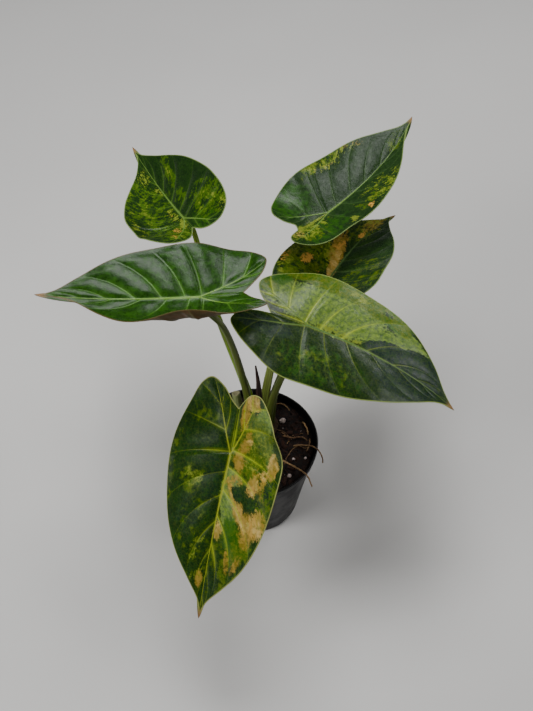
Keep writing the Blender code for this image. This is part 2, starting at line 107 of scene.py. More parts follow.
ROOTS = [  # radius, and points whose height is from the mix's top
    (1.0, [(21, -10, -4), (25, -17, 1.2), (36, -25, 3), (42, -32, 7.6), (46, -37, 10.6), (50, -42, 9.4),
           (53, -47, 3)]),
    (0.8, [(46, 28, -4), (47, 24, 1), (50, 17, 2.2), (51, 12, 1), (50, 7, -4)]),
    (0.8, [(52, 9, -4), (52.5, 5, 1), (51.5, -3, 2.5), (48, -10, 1), (46, -15, -4)]),
    (0.9, [(26, 12, -4), (29, 9, 1.2), (36, 6, 2.6), (44, 7, 2.4), (49, 5, 1.4), (50, 3, -4)]),
    (0.9, [(35, -1, -4), (39, -2, 1.5), (49, -4, 5), (55, -8.5, 9.8), (59.5, -13, 10.6), (63, -18, 8),
           (64, -22, 3)]),
    (0.8, [(20, 45, -4), (23, 46, 1.5), (28, 44, 3), (33, 40, 1), (35, 37, -4)]),
    (0.8, [(-30, 20, -4), (-34, 16, 1.2), (-42, 12, 2.5), (-46, 2, 1.2), (-45, -4, -4)]),
]
PALE_ROOT = 1.0  # roots from this radius stay pale
ROOT_SIDES = 12
FINE_ROOT_START = (22, 46)  # distance of the first point from the pot's middle
FINE_ROOT_STEPS = (3, 6)  # fewest and most
FINE_ROOT_STEP = 5.0
FINE_ROOT_TURN = 0.7  # radians
FINE_ROOT_RADIUS = (0.25, 0.5)
BED_SIDES = 180
BED_RINGS = 72
BED_PLAY = 0.15  # between the dressed mix and the pot's wall
SOLID_PLAY = 0.3  # between the solid mix and the pot's wall
CHIP_CORNERS = 22
CRUMB_LENGTH = (1.2, 5.0)
CRUMB_CORNERS = 10
DUST_WIDTH = (0.5, 1.3)
DUST_CORNERS = 9

# Crown
CROWN = (6.0, 21.0)
STEM_RADIUS = 17.0
STEM_TOP = 97.0
STEM_FOOT = 60.0
STEM_SIDES = 96
STEM_RINGS = 44
FOOT_ROUND = 7.0
SHOULDER = 3.0
STEM_DOME = [(14, 0.5), (9, 1.0), (4, 1.3), (0.5, 1.4)]  # radius and rise above the top
SOCKET_FLOOR = 84.0
SOCKET_CIRCLE = 10.0
COLLAR_HEIGHT = 5.0
STRAIGHT_END = 9.0  # how far a petiole runs straight into its blade
PETIOLE_TAPER = 0.8
PETIOLE_SIDES = 48
PETIOLE_RINGS = 110
GROOVE_WIDTH = 0.6  # radians round the petiole
GROOVE_DEPTH = 0.12  # as a share of the radius
SHEATH_GROOVE = 0.2  # added to it between the wings
SHEATH_FADE = (0.12, 0.26)  # start and length of the sheath's fade, as shares of the petiole
WING_PLACE = 0.85  # radians from the groove's middle
SHEATH_SIDES = 56
SHEATH = [  # x and y from the crown's middle, height and radius
    (0, 0, 84.3, 3.4), (0, 0, 108, 3.6), (-1, 1, 135, 3.0), (-2, 2, 160, 1.9), (-4, 2, 184, 0.7),
]
STUB_FOOT = (-12.5, 36.0, 78.0)
STUB_TOP = (-17.5, 45.5, 112.0)
STUB_RADIUS = 4.6
STUB_SIDES = 40
STUB_RINGS = 24
STUB_FACE = [(0.985, 0.88), (1.0, 0.8), (0.995, 0.62), (0.985, 0.4), (0.975, 0.12)]  # height and width, as shares

# Half of a blade's outline from the tip to the back lobe. Along is a share of the length, or of the lobe where it
# is negative, and across is a share of the half width. The outline ends at the sinus, where the lobes join.
HALF_OUTLINE = [
    (1.0, 0.0), (0.95, 0.035), (0.88, 0.12), (0.76, 0.37), (0.60, 0.66), (0.40, 0.88), (0.16, 1.0),
    (-0.20, 0.99), (-0.55, 0.86), (-0.85, 0.62), (-1.0, 0.38), (-0.93, 0.17), (-0.76, 0.045),
]
OUTLINE_STEPS = 8
BEND_POWER = 1.3
LOBE_BLEND = 0.6
MARGIN_WAVES = 2
MIDRIB_STATIONS = 240
MIDRIB_SPARE = 1.2
LEAST_CURL = 0.001

# Side veins: where they leave the midrib and the lobe's rib, as shares of its length
FRONT_VEINS = (0.07, 0.20, 0.36, 0.53, 0.70, 0.85)
LOBE_VEINS = (0.72, 0.40, 0.06)
# Rows of the blade's grid, as shares of the way from one vein to the next
ROW_STEPS = (0.0, 0.04, 0.10, 0.15, 0.20, 0.25, 0.32, 0.42, 0.54, 0.66, 0.78, 0.88, 0.95)
RIGHT_SHIFT = 4  # rows by which the right half's veins stand ahead of the left's
RIB_COLUMNS = (0.0, 0.5, 1.0, 1.8)  # from the rib, as shares of its width
EDGE_COLUMNS = (1.6, 0.8, 0.4, 0.15, 0.0)  # from the margin
OUTER_COLUMNS = 20
INNER_COLUMNS = 9
SHORT_VEIN = 8.0  # shorter rows squeeze those columns together
FIRST_ROW_AIM = 0.13  # where the junction's row meets the margin, as a share of the length
PUFF_SPREAD = 18.0  # rows of veins that spread this far are puffed in full
PUFF_RIB_FADE = 7.0
PUFF_EDGE_FADE = 9.0
EDGE_ROUND = 0.5
NORMAL_STEP = 1.0
LOBE_KNEE = (-0.45, 0.2)  # where the lobe's rib bends, as shares of the lobe and the half width
RIB_RISE = 0.22  # as a share of the rib's width
UNDER_RIB_RISE = 1.1  # as a share of the rib's width
VEIN_SINK = 0.16
UNDER_VEIN_RISE = 0.4
TINT_FADE = 0.5  # share of a tint's ellipse that takes it in full

FLECKS = ("lime", "cream", "orange")
WASHES = ("pale", "dark", "bright")
HAZES = ("olive", "ochre", "glow")

# Tones that are blended into the colours of the settings
RIB_GROOVE = (0.05, 0.11, 0.02)
VEIN_GAIN = (1.7, 1.7, 1.2)
UNDER_STREAK = (0.075, 0.05, 0.018)
UNDER_SPECK = (0.06, 0.075, 0.02)
UNDER_VEIN = (0.11, 0.13, 0.035)
UNDER_RIB = (0.17, 0.20, 0.06)
STALK_BLOTCH = (0.15, 0.145, 0.035)
STALK_FOOT = (0.20, 0.19, 0.06)
# Painted shade for the petioles' groove
STALK_GROOVE_SHADE = (0.05, 0.07, 0.015)
WING_EDGE = (0.06, 0.032, 0.016)
SHEATH_CREASE = (0.022, 0.009, 0.009)
SHEATH_BLOTCH = (0.11, 0.055, 0.03)
STUB_STREAK = (0.16, 0.18, 0.085)
STUB_DRY = (0.26, 0.22, 0.13)
STUB_SPECK = (0.12, 0.10, 0.05)
STEM_CREASE = (0.045, 0.024, 0.012)
STEM_SPECK = (0.20, 0.14, 0.07)
POT_DUST = (0.022, 0.019, 0.016)
POT_STREAK = (0.013, 0.013, 0.015)
GRAIN_STAIN = (0.20, 0.11, 0.08)
GRAIN_SHADE = (0.42, 0.28, 0.22)
ROOT_SHADE = (0.10, 0.045, 0.025)

# Stage, with places and lengths in metres
LAMPS = (  # name, place, target, width, depth, share of the power, whether glossy surfaces mirror it
    ("left_box", (-0.10, 0.46, 1.30), (-0.10, 0.461, 0.0), 0.48, 0.62, 0.6, True),
    ("right_box", (0.85, 0.62, 1.30), (0.80, 0.60, 0.0), 0.5, 0.4, 0.35, True),
    ("front_box", (0.95, -0.20, 1.25), (0.0, 0.0, 0.2), 0.4, 0.4, 0.22, True),
    ("side_box", (-0.85, -0.50, 1.0), (0.0, 0.0, 0.2), 0.5, 0.5, 0.35, False),
    ("side_glow", (-0.85, -0.50, 1.0), (0.0, 0.0, 0.2), 0.5, 0.5, 0.3, True),
)
SKY_TINT = (0.9, 0.93, 1.0, 1.0)
FLOOR_REACH = 4.0
LENS = 50.0  # millimetres
SENSOR = 36.0  # millimetres
CAMERA_PLACE = (0.0117, -0.5042, 0.8764)
CAMERA_TILT = 37.89


@dataclass(frozen=True)
class Leaf:
    """Sizes, pose and colour patches of one leaf. A pair gives the left half, seen from above, then the right."""

    number: int
    socket: float  # direction of the petiole's socket from the crown's middle
    route: tuple  # points of the petiole between its socket and the junction
    junction: tuple  # where the blade meets its petiole
    heading: float  # compass direction of the tip, from +X towards +Y
    pitch: float
    roll: float
    length: float  # from the junction to the tip
    width: tuple  # from the midrib to the margin
    lobe: tuple  # from the junction back to the lobe's end
    sinus: float  # from the junction back to the notch
    front_taper: tuple  # a larger taper makes a narrower end
    lobe_taper: tuple
    fold: tuple  # rise of each half from the midrib
    curl: tuple  # further turn from the midrib to the margin
    lobe_fold: tuple
    lobe_curl: tuple
    droop: float  # dip of the tip
    lobe_droop: float
    sweep: float  # sideways turn of the tip
    wave: float  # height of the margin's waves
    wave_start: tuple
    green: tuple = (0.012, 0.042, 0.006)  # tissue between the veins
    light: tuple = (0.035, 0.10, 0.008)  # tissue beside the veins
    veins: tuple = (0.13, 0.25, 0.03)
    rib: tuple = (0.20, 0.33, 0.06)
    edge: tuple = (0.20, 0.28, 0.08)
    vein_strength: tuple = (0.5, 0.5)
    puff: float = 1.0  # share of the quilting's height
    grain: float = 1.0  # sharpness of the olive mottling
    mild: float = 1.0  # share of the lighter tone in the olive mottling
    dusk: float = 1.0  # share of slate in the dark patches
    tints: dict = field(default_factory=dict)  # rows: along, across, half length, half width, turn, strength


LEAVES = [
    Leaf(
        number=1, socket=135, route=((-8, 40, 130), (-34, 76, 196)), junction=(-60, 121, 268),
        heading=117, pitch=-15, roll=-30, length=128, width=(50, 47), lobe=(53, 40), sinus=20,
        front_taper=(1.7, 1.2), lobe_taper=(0.6, 0.7), fold=(0, 15), curl=(70, 0),
        lobe_fold=(35, -10), lobe_curl=(10, 30), droop=-15, lobe_droop=-20, sweep=-10,
        wave=1.0, wave_start=(0, 2),
        green=(0.007, 0.026, 0.004), light=(0.016, 0.050, 0.005), vein_strength=(0.45, 0.5),
        puff=0.6, mild=0.25,
        tints={
            "bright": [(-26, -12, 20, 14, 0, 0.4)],
            "olive": [(40, 24, 66, 26, 0, 0.5), (-22, 20, 26, 20, 0, 0.68), (62, -17, 26, 6, -10, 0.62),
                (-10, -27, 22, 17, 0, 0.62), (24, -10, 16, 8, 0, 0.45)],
            "lime": [(38, 26, 60, 24, 0, 0.15), (86, 7, 14, 7, 0, 0.42), (-24, 18, 24, 17, 0, 0.24),
                (4, 42, 20, 7, 0, 0.36), (58, 2, 10, 3, 0, 0.4), (14, 6, 12, 5, 0, 0.38), (-8, 4, 12, 4, 0, 0.5),
                (62, -17, 14, 2, -10, 0.32), (-12, -28, 16, 13, 0, 0.24), (-27, -32, 7, 5, 0, 0.42)],
            "orange": [(-15, 13, 9, 4, 0, 0.5), (13, 8, 6, 3, 0, 0.4), (-34, 20, 6, 4, 0, 0.36)],
        },
    ),
    Leaf(
        number=2, socket=75, route=((14, 50, 132), (31, 108, 174), (49, 173, 208)), junction=(67, 145, 252),
        heading=45, pitch=0, roll=0, length=150, width=(46, 34), lobe=(50, 62), sinus=40,
        front_taper=(0.9, 1.7), lobe_taper=(0.7, 0.9), fold=(30, 10), curl=(-15, 10),
        lobe_fold=(15, -5), lobe_curl=(-20, 25), droop=-10, lobe_droop=-35, sweep=22,
        wave=1.2, wave_start=(1, 3),
        green=(0.011, 0.032, 0.007), light=(0.020, 0.055, 0.009), veins=(0.12, 0.21, 0.06), vein_strength=(0.35, 0.3),
        puff=0.15,
        tints={
            "bright": [(-25, 30, 26, 22, 0, 0.55), (-38, 40, 12, 10, 0, 0.7), (-20, -18, 34, 14, 0, 0.5)],
            "olive": [(32, 42, 34, 8, 0, 0.6), (50, -18, 34, 10, 0, 0.5), (-34, -8, 26, 12, 0, 0.62),
                (112, 3, 16, 6, 0, 0.45)],
            "lime": [(-20, 0, 24, 1.2, 0, 0.8), (32, 38, 24, 8, -10, 0.36), (66, 36, 18, 6, -20, 0.34),
                (54, -14, 26, 8, 0, 0.28), (4, -27, 8, 5, 0, 0.5), (60, -22, 26, 5, 15, 0.34),
                (-34, -6, 26, 9, -5, 0.45)],
            "cream": [(30, 36, 12, 5, -10, 0.32), (82, 30, 8, 3, -20, 0.36), (-46, -6, 12, 6, 0, 0.42)],
            "orange": [(70, 38, 4, 3, 0, 0.55), (30, -26, 4, 3, 0, 0.66)],
        },
    ),
    Leaf(
        number=3, socket=195, route=((-6, 22, 142), (-24, 24, 235)), junction=(-41, 14, 286),
        heading=186, pitch=2, roll=4, length=130, width=(54, 48), lobe=(54, 58), sinus=35,
        front_taper=(2.7, 1.0), lobe_taper=(0.6, 0.6), fold=(-18, 20), curl=(100, 0),
        lobe_fold=(5, 10), lobe_curl=(50, 0), droop=-5, lobe_droop=-20, sweep=-8,
        wave=1.0, wave_start=(0, 1),
        green=(0.009, 0.042, 0.001), light=(0.020, 0.078, 0.0015), rib=(0.22, 0.40, 0.04), edge=(0.12, 0.085, 0.03),
        veins=(0.12, 0.27, 0.03), vein_strength=(0.5, 0.65),
        tints={"bright": [(30, 0, 120, 60, 0, 0.35)]},
    ),
    Leaf(
        number=4, socket=15, route=((20, 32, 135), (44, 64, 182)), junction=(68, 94, 220),
        heading=63, pitch=-6, roll=-3, length=128, width=(50, 50), lobe=(50, 52), sinus=25,
        front_taper=(1.3, 1.3), lobe_taper=(0.8, 0.9), fold=(5, 5), curl=(0, 30),
        lobe_fold=(10, 15), lobe_curl=(0, 25), droop=10, lobe_droop=20, sweep=-15,
        wave=1.2, wave_start=(2, 0),
        green=(0.011, 0.034, 0.007), light=(0.026, 0.068, 0.010), veins=(0.10, 0.17, 0.05), rib=(0.08, 0.15, 0.045),
        vein_strength=(0.25, 0.4), puff=0.5,
        tints={
            "olive": [(12, 30, 46, 26, 0, 0.7), (84, 8, 26, 16, 0, 0.6), (12, -32, 30, 20, 0, 0.42)],
            "ochre": [(36, 10, 20, 7, 16, 1.1), (52, 16, 20, 8, 20, 0.62), (95, 4, 18, 8, 0, 0.66)],
            "lime": [(30, 15, 20, 6, 20, 0.4), (4, 44, 24, 7, 0, 0.45), (28, 24, 30, 16, 0, 0.26),
                (96, 6, 20, 8, 0, 0.42)],
            "cream": [(15, 4, 14, 4, 12, 1.3), (29, 7, 14, 4, 14, 1.0)],
            "orange": [(46, 11, 9, 5, 0, 0.5), (14, 29, 8, 6, 0, 0.66), (4, 47, 10, 4, 0, 0.5),
                (-2, 12, 5, 3, 0, 0.5), (72, 3, 6, 3, 0, 0.7)],
            "glow": [(16, -16, 14, 9, -60, 0.9)],
        },
    ),
    Leaf(
        number=5, socket=-45, route=((16, 14, 140), (28, 14, 190)), junction=(46, 20, 243),
        heading=-18, pitch=-11, roll=3, length=144, width=(51, 51), lobe=(52, 62), sinus=33,
        front_taper=(0.9, 1.0), lobe_taper=(0.6, 1.1), fold=(15, 0), curl=(-15, -20),
        lobe_fold=(5, 10), lobe_curl=(-10, -20), droop=22, lobe_droop=15, sweep=-10,
        wave=1.2, wave_start=(1, 0),
        green=(0.007, 0.025, 0.004), light=(0.013, 0.050, 0.003), veins=(0.36, 0.44, 0.035), rib=(0.12, 0.22, 0.06),
        edge=(0.32, 0.40, 0.10), vein_strength=(0.9, 0.3), puff=0.35, grain=0.4,
        tints={
            "pale": [(14, 20, 52, 19, 0, 1.0), (-28, 24, 22, 15, 0, 0.75), (62, 16, 30, 9, 10, 0.8),
                (86, 25, 26, 6, -22, 1.2)],
            "bright": [(30, 47, 64, 9, -5, 1.0), (62, 37, 20, 7, -20, 0.9), (18, -32, 46, 18, 0, 0.36),
                (-44, 32, 20, 8, 30, 1.0)],
            "olive": [(14, 45, 46, 8, -4, 1.8), (-44, 28, 9, 6, 0, 0.9), (44, 41, 20, 8, -12, 1.6),
                (70, 35, 12, 5, -22, 1.6), (16, -32, 38, 14, 0, 0.3)],
            "lime": [(34, 43, 12, 4, -8, 0.5), (28, 4, 20, 3, 0, 0.75)],
            # The dark patch at -34 and -14, on the near lobe, is painted reflection: its slate blue-grey stands in for
            # sheen on that lobe.
            "dark": [(58, 39, 5, 3, -20, 0.6), (76, 7, 24, 9, 8, 2.0), (108, 8, 26, 13, -6, 2.0),
                (-34, -14, 24, 9, 0, 1.0), (96, -12, 40, 14, 0, 0.7)],
        },
    ),
    Leaf(
        number=6, socket=-105, route=((0, -12, 140), (-8, -50, 182)), junction=(-17, -81, 205),
        heading=-107, pitch=-40, roll=6, length=143, width=(54, 54), lobe=(60, 56), sinus=38,
        front_taper=(1.1, 1.3), lobe_taper=(0.8, 0.7), fold=(10, 15), curl=(25, -45),
        lobe_fold=(25, -10), lobe_curl=(20, -15), droop=14, lobe_droop=-30, sweep=0,
        wave=1.2, wave_start=(0, 1),
        green=(0.009, 0.034, 0.005), light=(0.020, 0.070, 0.006), veins=(0.32, 0.38, 0.02), rib=(0.50, 0.50, 0.03),
        edge=(0.34, 0.36, 0.10), vein_strength=(1.0, 0.5), puff=0.7, grain=0.45, dusk=0.4,
        tints={
            "pale": [(-38, 33, 22, 10, -25, 1.2), (-10, 40, 14, 6, 0, 0.8), (20, 8, 9, 8, 0, 1.0),
                (42, 9, 20, 7, 18, 1.8)],
            "bright": [(66, 18, 18, 9, 15, 1.0)],
            "olive": [(-12, 24, 32, 24, 0, 0.85), (66, 28, 28, 11, -18, 0.7), (30, 42, 26, 12, -10, 0.72),
                (94, 6, 32, 24, 0, 0.4), (-36, -26, 30, 22, 0, 0.3), (26, -27, 16, 12, 0, 0.62),
                (26, -50, 48, 6, 0, 0.36), (60, -20, 30, 16, 0, 0.3)],
            "ochre": [(-36, 9, 16, 5, -5, 0.9), (-12, 14, 12, 6, -20, 0.7), (4, 10, 9, 6, 0, 0.8),
                (22, 9, 9, 8, 0, 0.6), (16, 34, 14, 9, 20, 0.6), (44, 21, 22, 6, 36, 0.7),
                (52, 33, 18, 9, -15, 0.8), (84, 17, 12, 2.5, 10, 0.6), (86, 26, 10, 3, -25, 0.7),
                (107, -5, 8, 3, 0, 0.8)],
            "lime": [(-10, 27, 24, 14, 0, 0.3), (90, -9, 26, 10, 0, 0.2), (24, -26, 10, 9, 0, 0.42)],
            "cream": [(-51, 17, 9, 9, 0, 0.95), (-14, 17, 5, 4, 0, 0.5), (-1, 44, 12, 6, 0, 0.95),
                (12, 38, 9, 5, 30, 0.6), (20, 28, 9, 6, 0, 0.9), (40, 18, 24, 4, 36, 0.9),
                (47, 40, 12, 9, -15, 0.95), (63, 3.5, 8, 4, 0, 0.85)],
            "dark": [(29, 15, 8, 5, 40, 0.9), (18, 46, 12, 7, 0, 0.52), (32, 33, 10, 10, 0, 0.54),
                (108, 6, 16, 8, 0, 0.55), (-42, -22, 18, 14, 0, 0.5), (28, -11, 18, 8, 0, 0.75),
                (14, -9, 9, 7, 0, 0.85), (56, -26, 22, 14, 0, 0.5)],
            "glow": [(-6, -16, 14, 14, 0, 0.75)],
        },
    ),
]


def between(lower, upper, place, start, end):
    """The straight blend from start at lower to end at upper."""
    return ((upper - place) * start + (place - lower) * end) / (upper - lower)


def ease(value):
    """A smooth step from 0 to 1."""
    t = np.clip(value, 0.0, 1.0)
    return t * t * (3 - 2 * t)


def bell(value):
    """A smooth bump, 1 at 0."""
    return np.exp(-np.square(value))


def polar(reach, angle):
    """The place at a distance from the middle, in the direction of an angle in radians."""
    return reach * math.cos(angle), reach * math.sin(angle)


def ring_angles(sides):
    """Directions, in radians, of evenly spaced points round a ring."""
    return np.linspace(-math.pi, math.pi, sides, endpoint=False)


def as_rows(*parts):
    """One row per point, from arrays that are spread to the same shape."""
    return np.stack(np.broadcast_arrays(*parts), axis=-1).reshape(-1, len(parts))


def spline(points, steps):
    """Points along a smooth curve through the given ones (a centripetal Catmull-Rom spline)."""
    given = np.array(points, float)
    padded = np.vstack([2 * given[0] - given[1], given, 2 * given[-1] - given[-2]])
    curve = []
    for first in range(len(given) - 1):
        p = padded[first:first + 4]
        k = np.concatenate([[0.0], np.cumsum(np.linalg.norm(np.diff(p, axis=0), axis=1) ** 0.5)])
        t = np.linspace(k[1], k[2], steps, endpoint=False)[:, None]
        a = [between(k[i], k[i + 1], t, p[i], p[i + 1]) for i in range(3)]
        b = [between(k[i], k[i + 2], t, a[i], a[i + 1]) for i in range(2)]
        curve.append(between(k[1], k[2], t, b[0], b[1]))
    return np.vstack(curve + [given[-1:]])


def run_along(points):
    """How far each point of a polyline lies along it."""
    return np.concatenate([[0.0], np.cumsum(np.linalg.norm(np.diff(points, axis=0), axis=1))])


def at_shares(points, shares):
    """Places on a polyline at the given shares of its length."""
    run = run_along(points)
    return np.stack([np.interp(np.asarray(shares) * run[-1], run, column) for column in points.T], axis=-1)


def half_outline(leaf, side):
    """The flat outline of one half from tip to sinus, with the distance from the midrib always positive."""
    points = []
    for along, across in HALF_OUTLINE:
        reach = leaf.length if along > 0 else leaf.lobe[side]
        taper = leaf.front_taper[side] if along > 0 else leaf.lobe_taper[side]
        points.append((along * reach, across ** taper * leaf.width[side]))
    points.append((-leaf.sinus, 0.0))
    curve = spline(points, OUTLINE_STEPS)
    curve[:, 1] = np.maximum(curve[:, 1], 0.0)
    return curve


def bend_blade(leaf, along, across):
    """Where points of the flat blade lie once it is bent, in the blade's own axes, with the junction at 0."""
    back = max(leaf.lobe)
    station = np.linspace(-MIDRIB_SPARE * back, MIDRIB_SPARE * leaf.length, MIDRIB_STATIONS)
    forward = np.clip(station / leaf.length, 0.0, None) ** BEND_POWER
    backward = np.clip(-station / back, 0.0, None) ** BEND_POWER
    dip = np.radians(leaf.lobe_droop * backward - leaf.droop * forward)
    turn = np.radians(leaf.sweep * forward)
    heading = np.stack([np.cos(dip) * np.cos(turn), np.sin(turn), np.sin(dip)], axis=1)
    midrib = np.cumsum(heading * (station[1] - station[0]), axis=0)
    midrib -= [np.interp(0.0, station, column) for column in midrib.T]
    rib = np.stack([np.interp(along, station, column) for column in midrib.T], axis=1)
    dip = np.interp(along, station, dip)
    turn = np.interp(along, station, turn)

    side = np.where(across >= 0, 0, 1)
    lobed = ease(-along / (LOBE_BLEND * back))
    width = np.array(leaf.width)[side]
    fold = np.radians(between(0.0, 1.0, lobed, np.array(leaf.fold)[side], np.array(leaf.lobe_fold)[side]))
    curl = np.radians(between(0.0, 1.0, lobed, np.array(leaf.curl)[side], np.array(leaf.lobe_curl)[side]))
    curl = np.where(np.abs(curl) < LEAST_CURL, LEAST_CURL, curl) / width
    reach = np.abs(across)
    slope = fold + curl * reach
    out = (np.sin(slope) - np.sin(fold)) / curl * np.where(across >= 0, 1, -1)
    rise = (np.cos(fold) - np.cos(slope)) / curl
    ripple = np.sin(math.tau * MARGIN_WAVES * along / leaf.length + np.array(leaf.wave_start)[side])
    rise = rise + leaf.wave * (reach / width) ** 2 * ripple
    left = np.stack([-np.sin(turn) * np.cos(dip), np.cos(turn), -np.sin(turn) * np.sin(dip)], axis=1)
    up = np.stack([-np.sin(dip), np.zeros_like(dip), np.cos(dip)], axis=1)
    return rib + left * out[:, None] + up * rise[:, None]


def blade_pose(leaf):
    """The blade's turn: roll about its midrib, pitch, then heading."""
    return Euler((math.radians(leaf.roll), math.radians(-leaf.pitch), math.radians(leaf.heading)))


class Finish:
    """A procedural material, put together node by node."""

    def __init__(self, name, **fixed):
        self.material = bpy.data.materials.new(name)
        self.material.use_nodes = True
        self.tree = self.material.node_tree
        self.shader = self.tree.nodes["Principled BSDF"]
        for socket, value in fixed.items():
            self.shader.inputs[socket.replace("_", " ")].default_value = value

    def put(self, socket, value):
        """Links a value to a node's input, or sets it there."""
        if isinstance(value, bpy.types.NodeSocket):
            self.tree.links.new(value, socket)
        elif value is not None:
            if socket.type == "RGBA" and len(value) == 3:
                value = (*value, 1.0)
            socket.default_value = value

    def node(self, kind, *values, output=0, **settings):
        """Adds a node with values for its first inputs, and gives one of its outputs."""
        made = self.tree.nodes.new("ShaderNode" + kind)
        for name, value in settings.items():
            setattr(made, name, value)
        for socket, value in zip(made.inputs, values):
            self.put(socket, value)
        return made.outputs[output]

    def math(self, operation, *values):
        """The result of one sum."""
        return self.node("Math", *values, operation=operation)

    def attribute(self, name):
        """The three parts of a vector that the mesh stores at its points."""
        split = self.tree.nodes.new("ShaderNodeSeparateXYZ")
        vector = self.node("Attribute", attribute_name=name, output="Vector")
        self.put(split.inputs[0], vector)
        return vector, split.outputs

    def scaled(self, vector, scale, offset=(0.0, 0.0, 0.0)):
        """A vector times a scale, part by part, and moved by an offset."""
        return self.node("VectorMath", vector, scale, offset, operation="MULTIPLY_ADD")

    def noise(self, vector, scale, detail, roughness, distortion=0.0):
        """Cloudy noise, mostly between 0.3 and 0.7."""
        made = self.tree.nodes.new("ShaderNodeTexNoise")
        inputs = {"Vector": vector, "Scale": scale, "Detail": detail, "Roughness": roughness,
                  "Distortion": distortion}
        for name, value in inputs.items():
            self.put(made.inputs[name], value)
        return made.outputs[0]

    def cells(self, vector, scale):
        """How far each place lies from the borders of irregular cells."""
        made = self.tree.nodes.new("ShaderNodeTexVoronoi")
        made.feature = "DISTANCE_TO_EDGE"
        self.put(made.inputs["Vector"], vector)
        self.put(made.inputs["Scale"], scale)
        return made.outputs["Distance"]

    def ramp(self, value, low, high, start=0.0, end=1.0):
        """A smooth change from start at low to end at high."""
        return self.node("MapRange", value, low, high, start, end, interpolation_type="SMOOTHSTEP")

    def mix(self, factor, first, second, blend="MIX"):
        """The blend of two colours."""
        made = self.tree.nodes.new("ShaderNodeMix")
        made.data_type = "RGBA"
        made.blend_type = blend
        for index, value in ((0, factor), (6, first), (7, second)):
            self.put(made.inputs[index], value)
        return made.outputs[2]

    def layers(self, colour, *rows):
        """Lays tones over a colour. A row has a value, the numbers of its ramp and the tone that it blends in."""
        for value, *numbers, tone in rows:
            colour = self.mix(self.ramp(value, *numbers), colour, tone)
        return colour

    def finish(self, colour, roughness, height=None, depth=MM):
        """Ends the material with its colour, its roughness and the height that it is embossed by."""
        self.put(self.shader.inputs["Base Color"], colour)
        self.put(self.shader.inputs["Roughness"], roughness)
        if height is not None:
            bump = self.tree.nodes.new("ShaderNodeBump")
            bump.inputs["Distance"].default_value = depth
            self.put(bump.inputs["Height"], height)
            self.put(self.shader.inputs["Normal"], bump.outputs[0])
        return self.material


def new_piece(name, points, faces, finishes, node, attributes=None, grade=None, sharp=None):
    """A mesh piece, from points in millimetres, that stands for a node of the frame."""
    mesh = bpy.data.meshes.new(name)
    mesh.from_pydata((np.asarray(points) * MM).tolist(), [], [list(map(int, face)) for face in faces])
    for finish in finishes:
        mesh.materials.append(finish)
    for title, values in (attributes or {}).items():
        stored = mesh.attributes.new(title, "FLOAT_VECTOR", "POINT")
        stored.data.foreach_set("vector", np.asarray(values, float).ravel())
    if grade is not None:
        mesh.polygons.foreach_set("material_index", grade)
    form = bmesh.new()
    form.from_mesh(mesh)
    bmesh.ops.remove_doubles(form, verts=form.verts, dist=MERGE * MM)
    bmesh.ops.dissolve_degenerate(form, edges=form.edges, dist=SLIVER * MM)
    bmesh.ops.recalc_face_normals(form, faces=form.faces)
    form.to_mesh(mesh)
    form.free()
    mesh.shade_smooth()
    if sharp is not None:
        mesh.set_sharp_from_angle(angle=math.radians(sharp))
    piece = bpy.data.objects.new(name, mesh)
    bpy.context.scene.collection.objects.link(piece)
    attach(piece, BODY)
    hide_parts(node)
    return piece


def grid_faces(rows, columns, first=0, flip=False, closed=False):
    """Four-sided faces between neighbouring points of a grid, whose columns meet again where it is closed."""
    index = first + np.arange(rows * columns).reshape(rows, columns)
    if closed:
        index = np.hstack([index, index[:, :1]])
    corners = [index[:-1, :-1], index[1:, :-1], index[1:, 1:], index[:-1, 1:]]
    faces = np.stack([corner.ravel() for corner in corners], axis=1)
    return faces[:, ::-1] if flip else faces


def veined_patch(source, margin, bow, rib_width, vein_rows, columns):
    """A grid of flat places from a rib to the margin, whose rows run as the side veins do."""
    chord = margin - source
    length = np.linalg.norm(chord, axis=1)
    squeeze = np.minimum(1.0, length / SHORT_VEIN)[:, None]
    near_rib = np.array(RIB_COLUMNS) * rib_width[:, None] * squeeze
    near_edge = length[:, None] - np.array(EDGE_COLUMNS) * squeeze
    share = np.arange(1, columns + 1) / (columns + 1)
    middle = between(0.0, 1.0, share, near_rib[:, -1:], near_edge[:, :1])
    distance = np.hstack([near_rib, middle, near_edge])
    t = (distance / np.maximum(length, TINY)[:, None])[:, :, None]
    control = (source + margin) / 2 - bow[:, None] * np.stack([chord[:, 1], -chord[:, 0]], axis=1)
    place = (1 - t) ** 2 * source[:, None] + 2 * t * (1 - t) * control[:, None] + t ** 2 * margin[:, None]

    tangent = np.gradient(place, axis=1)
    tangent /= np.maximum(np.linalg.norm(tangent, axis=2, keepdims=True), TINY)
    step = np.diff(place, axis=0)
    heading = (tangent[:-1] + tangent[1:]) / 2
    apart = np.abs(step[..., 0] * heading[..., 1] - step[..., 1] * heading[..., 0])
    run = np.vstack([np.zeros((1, place.shape[1])), np.cumsum(apart, axis=0)])
    to_vein = np.min(np.abs(run[None] - run[vein_rows][:, None]), axis=0)
    return place, distance, t[:, :, 0], run, to_vein


def to_line(places, line):
    """How far each flat place lies from a polyline."""
    start, way = line[:-1], np.diff(line, axis=0)
    length = np.maximum(np.sum(way ** 2, axis=1), TINY)
    gap = places[:, None] - start
    share = np.clip(np.sum(gap * way, axis=2) / length, 0.0, 1.0)
    return np.min(np.linalg.norm(gap - share[..., None] * way, axis=2), axis=1)


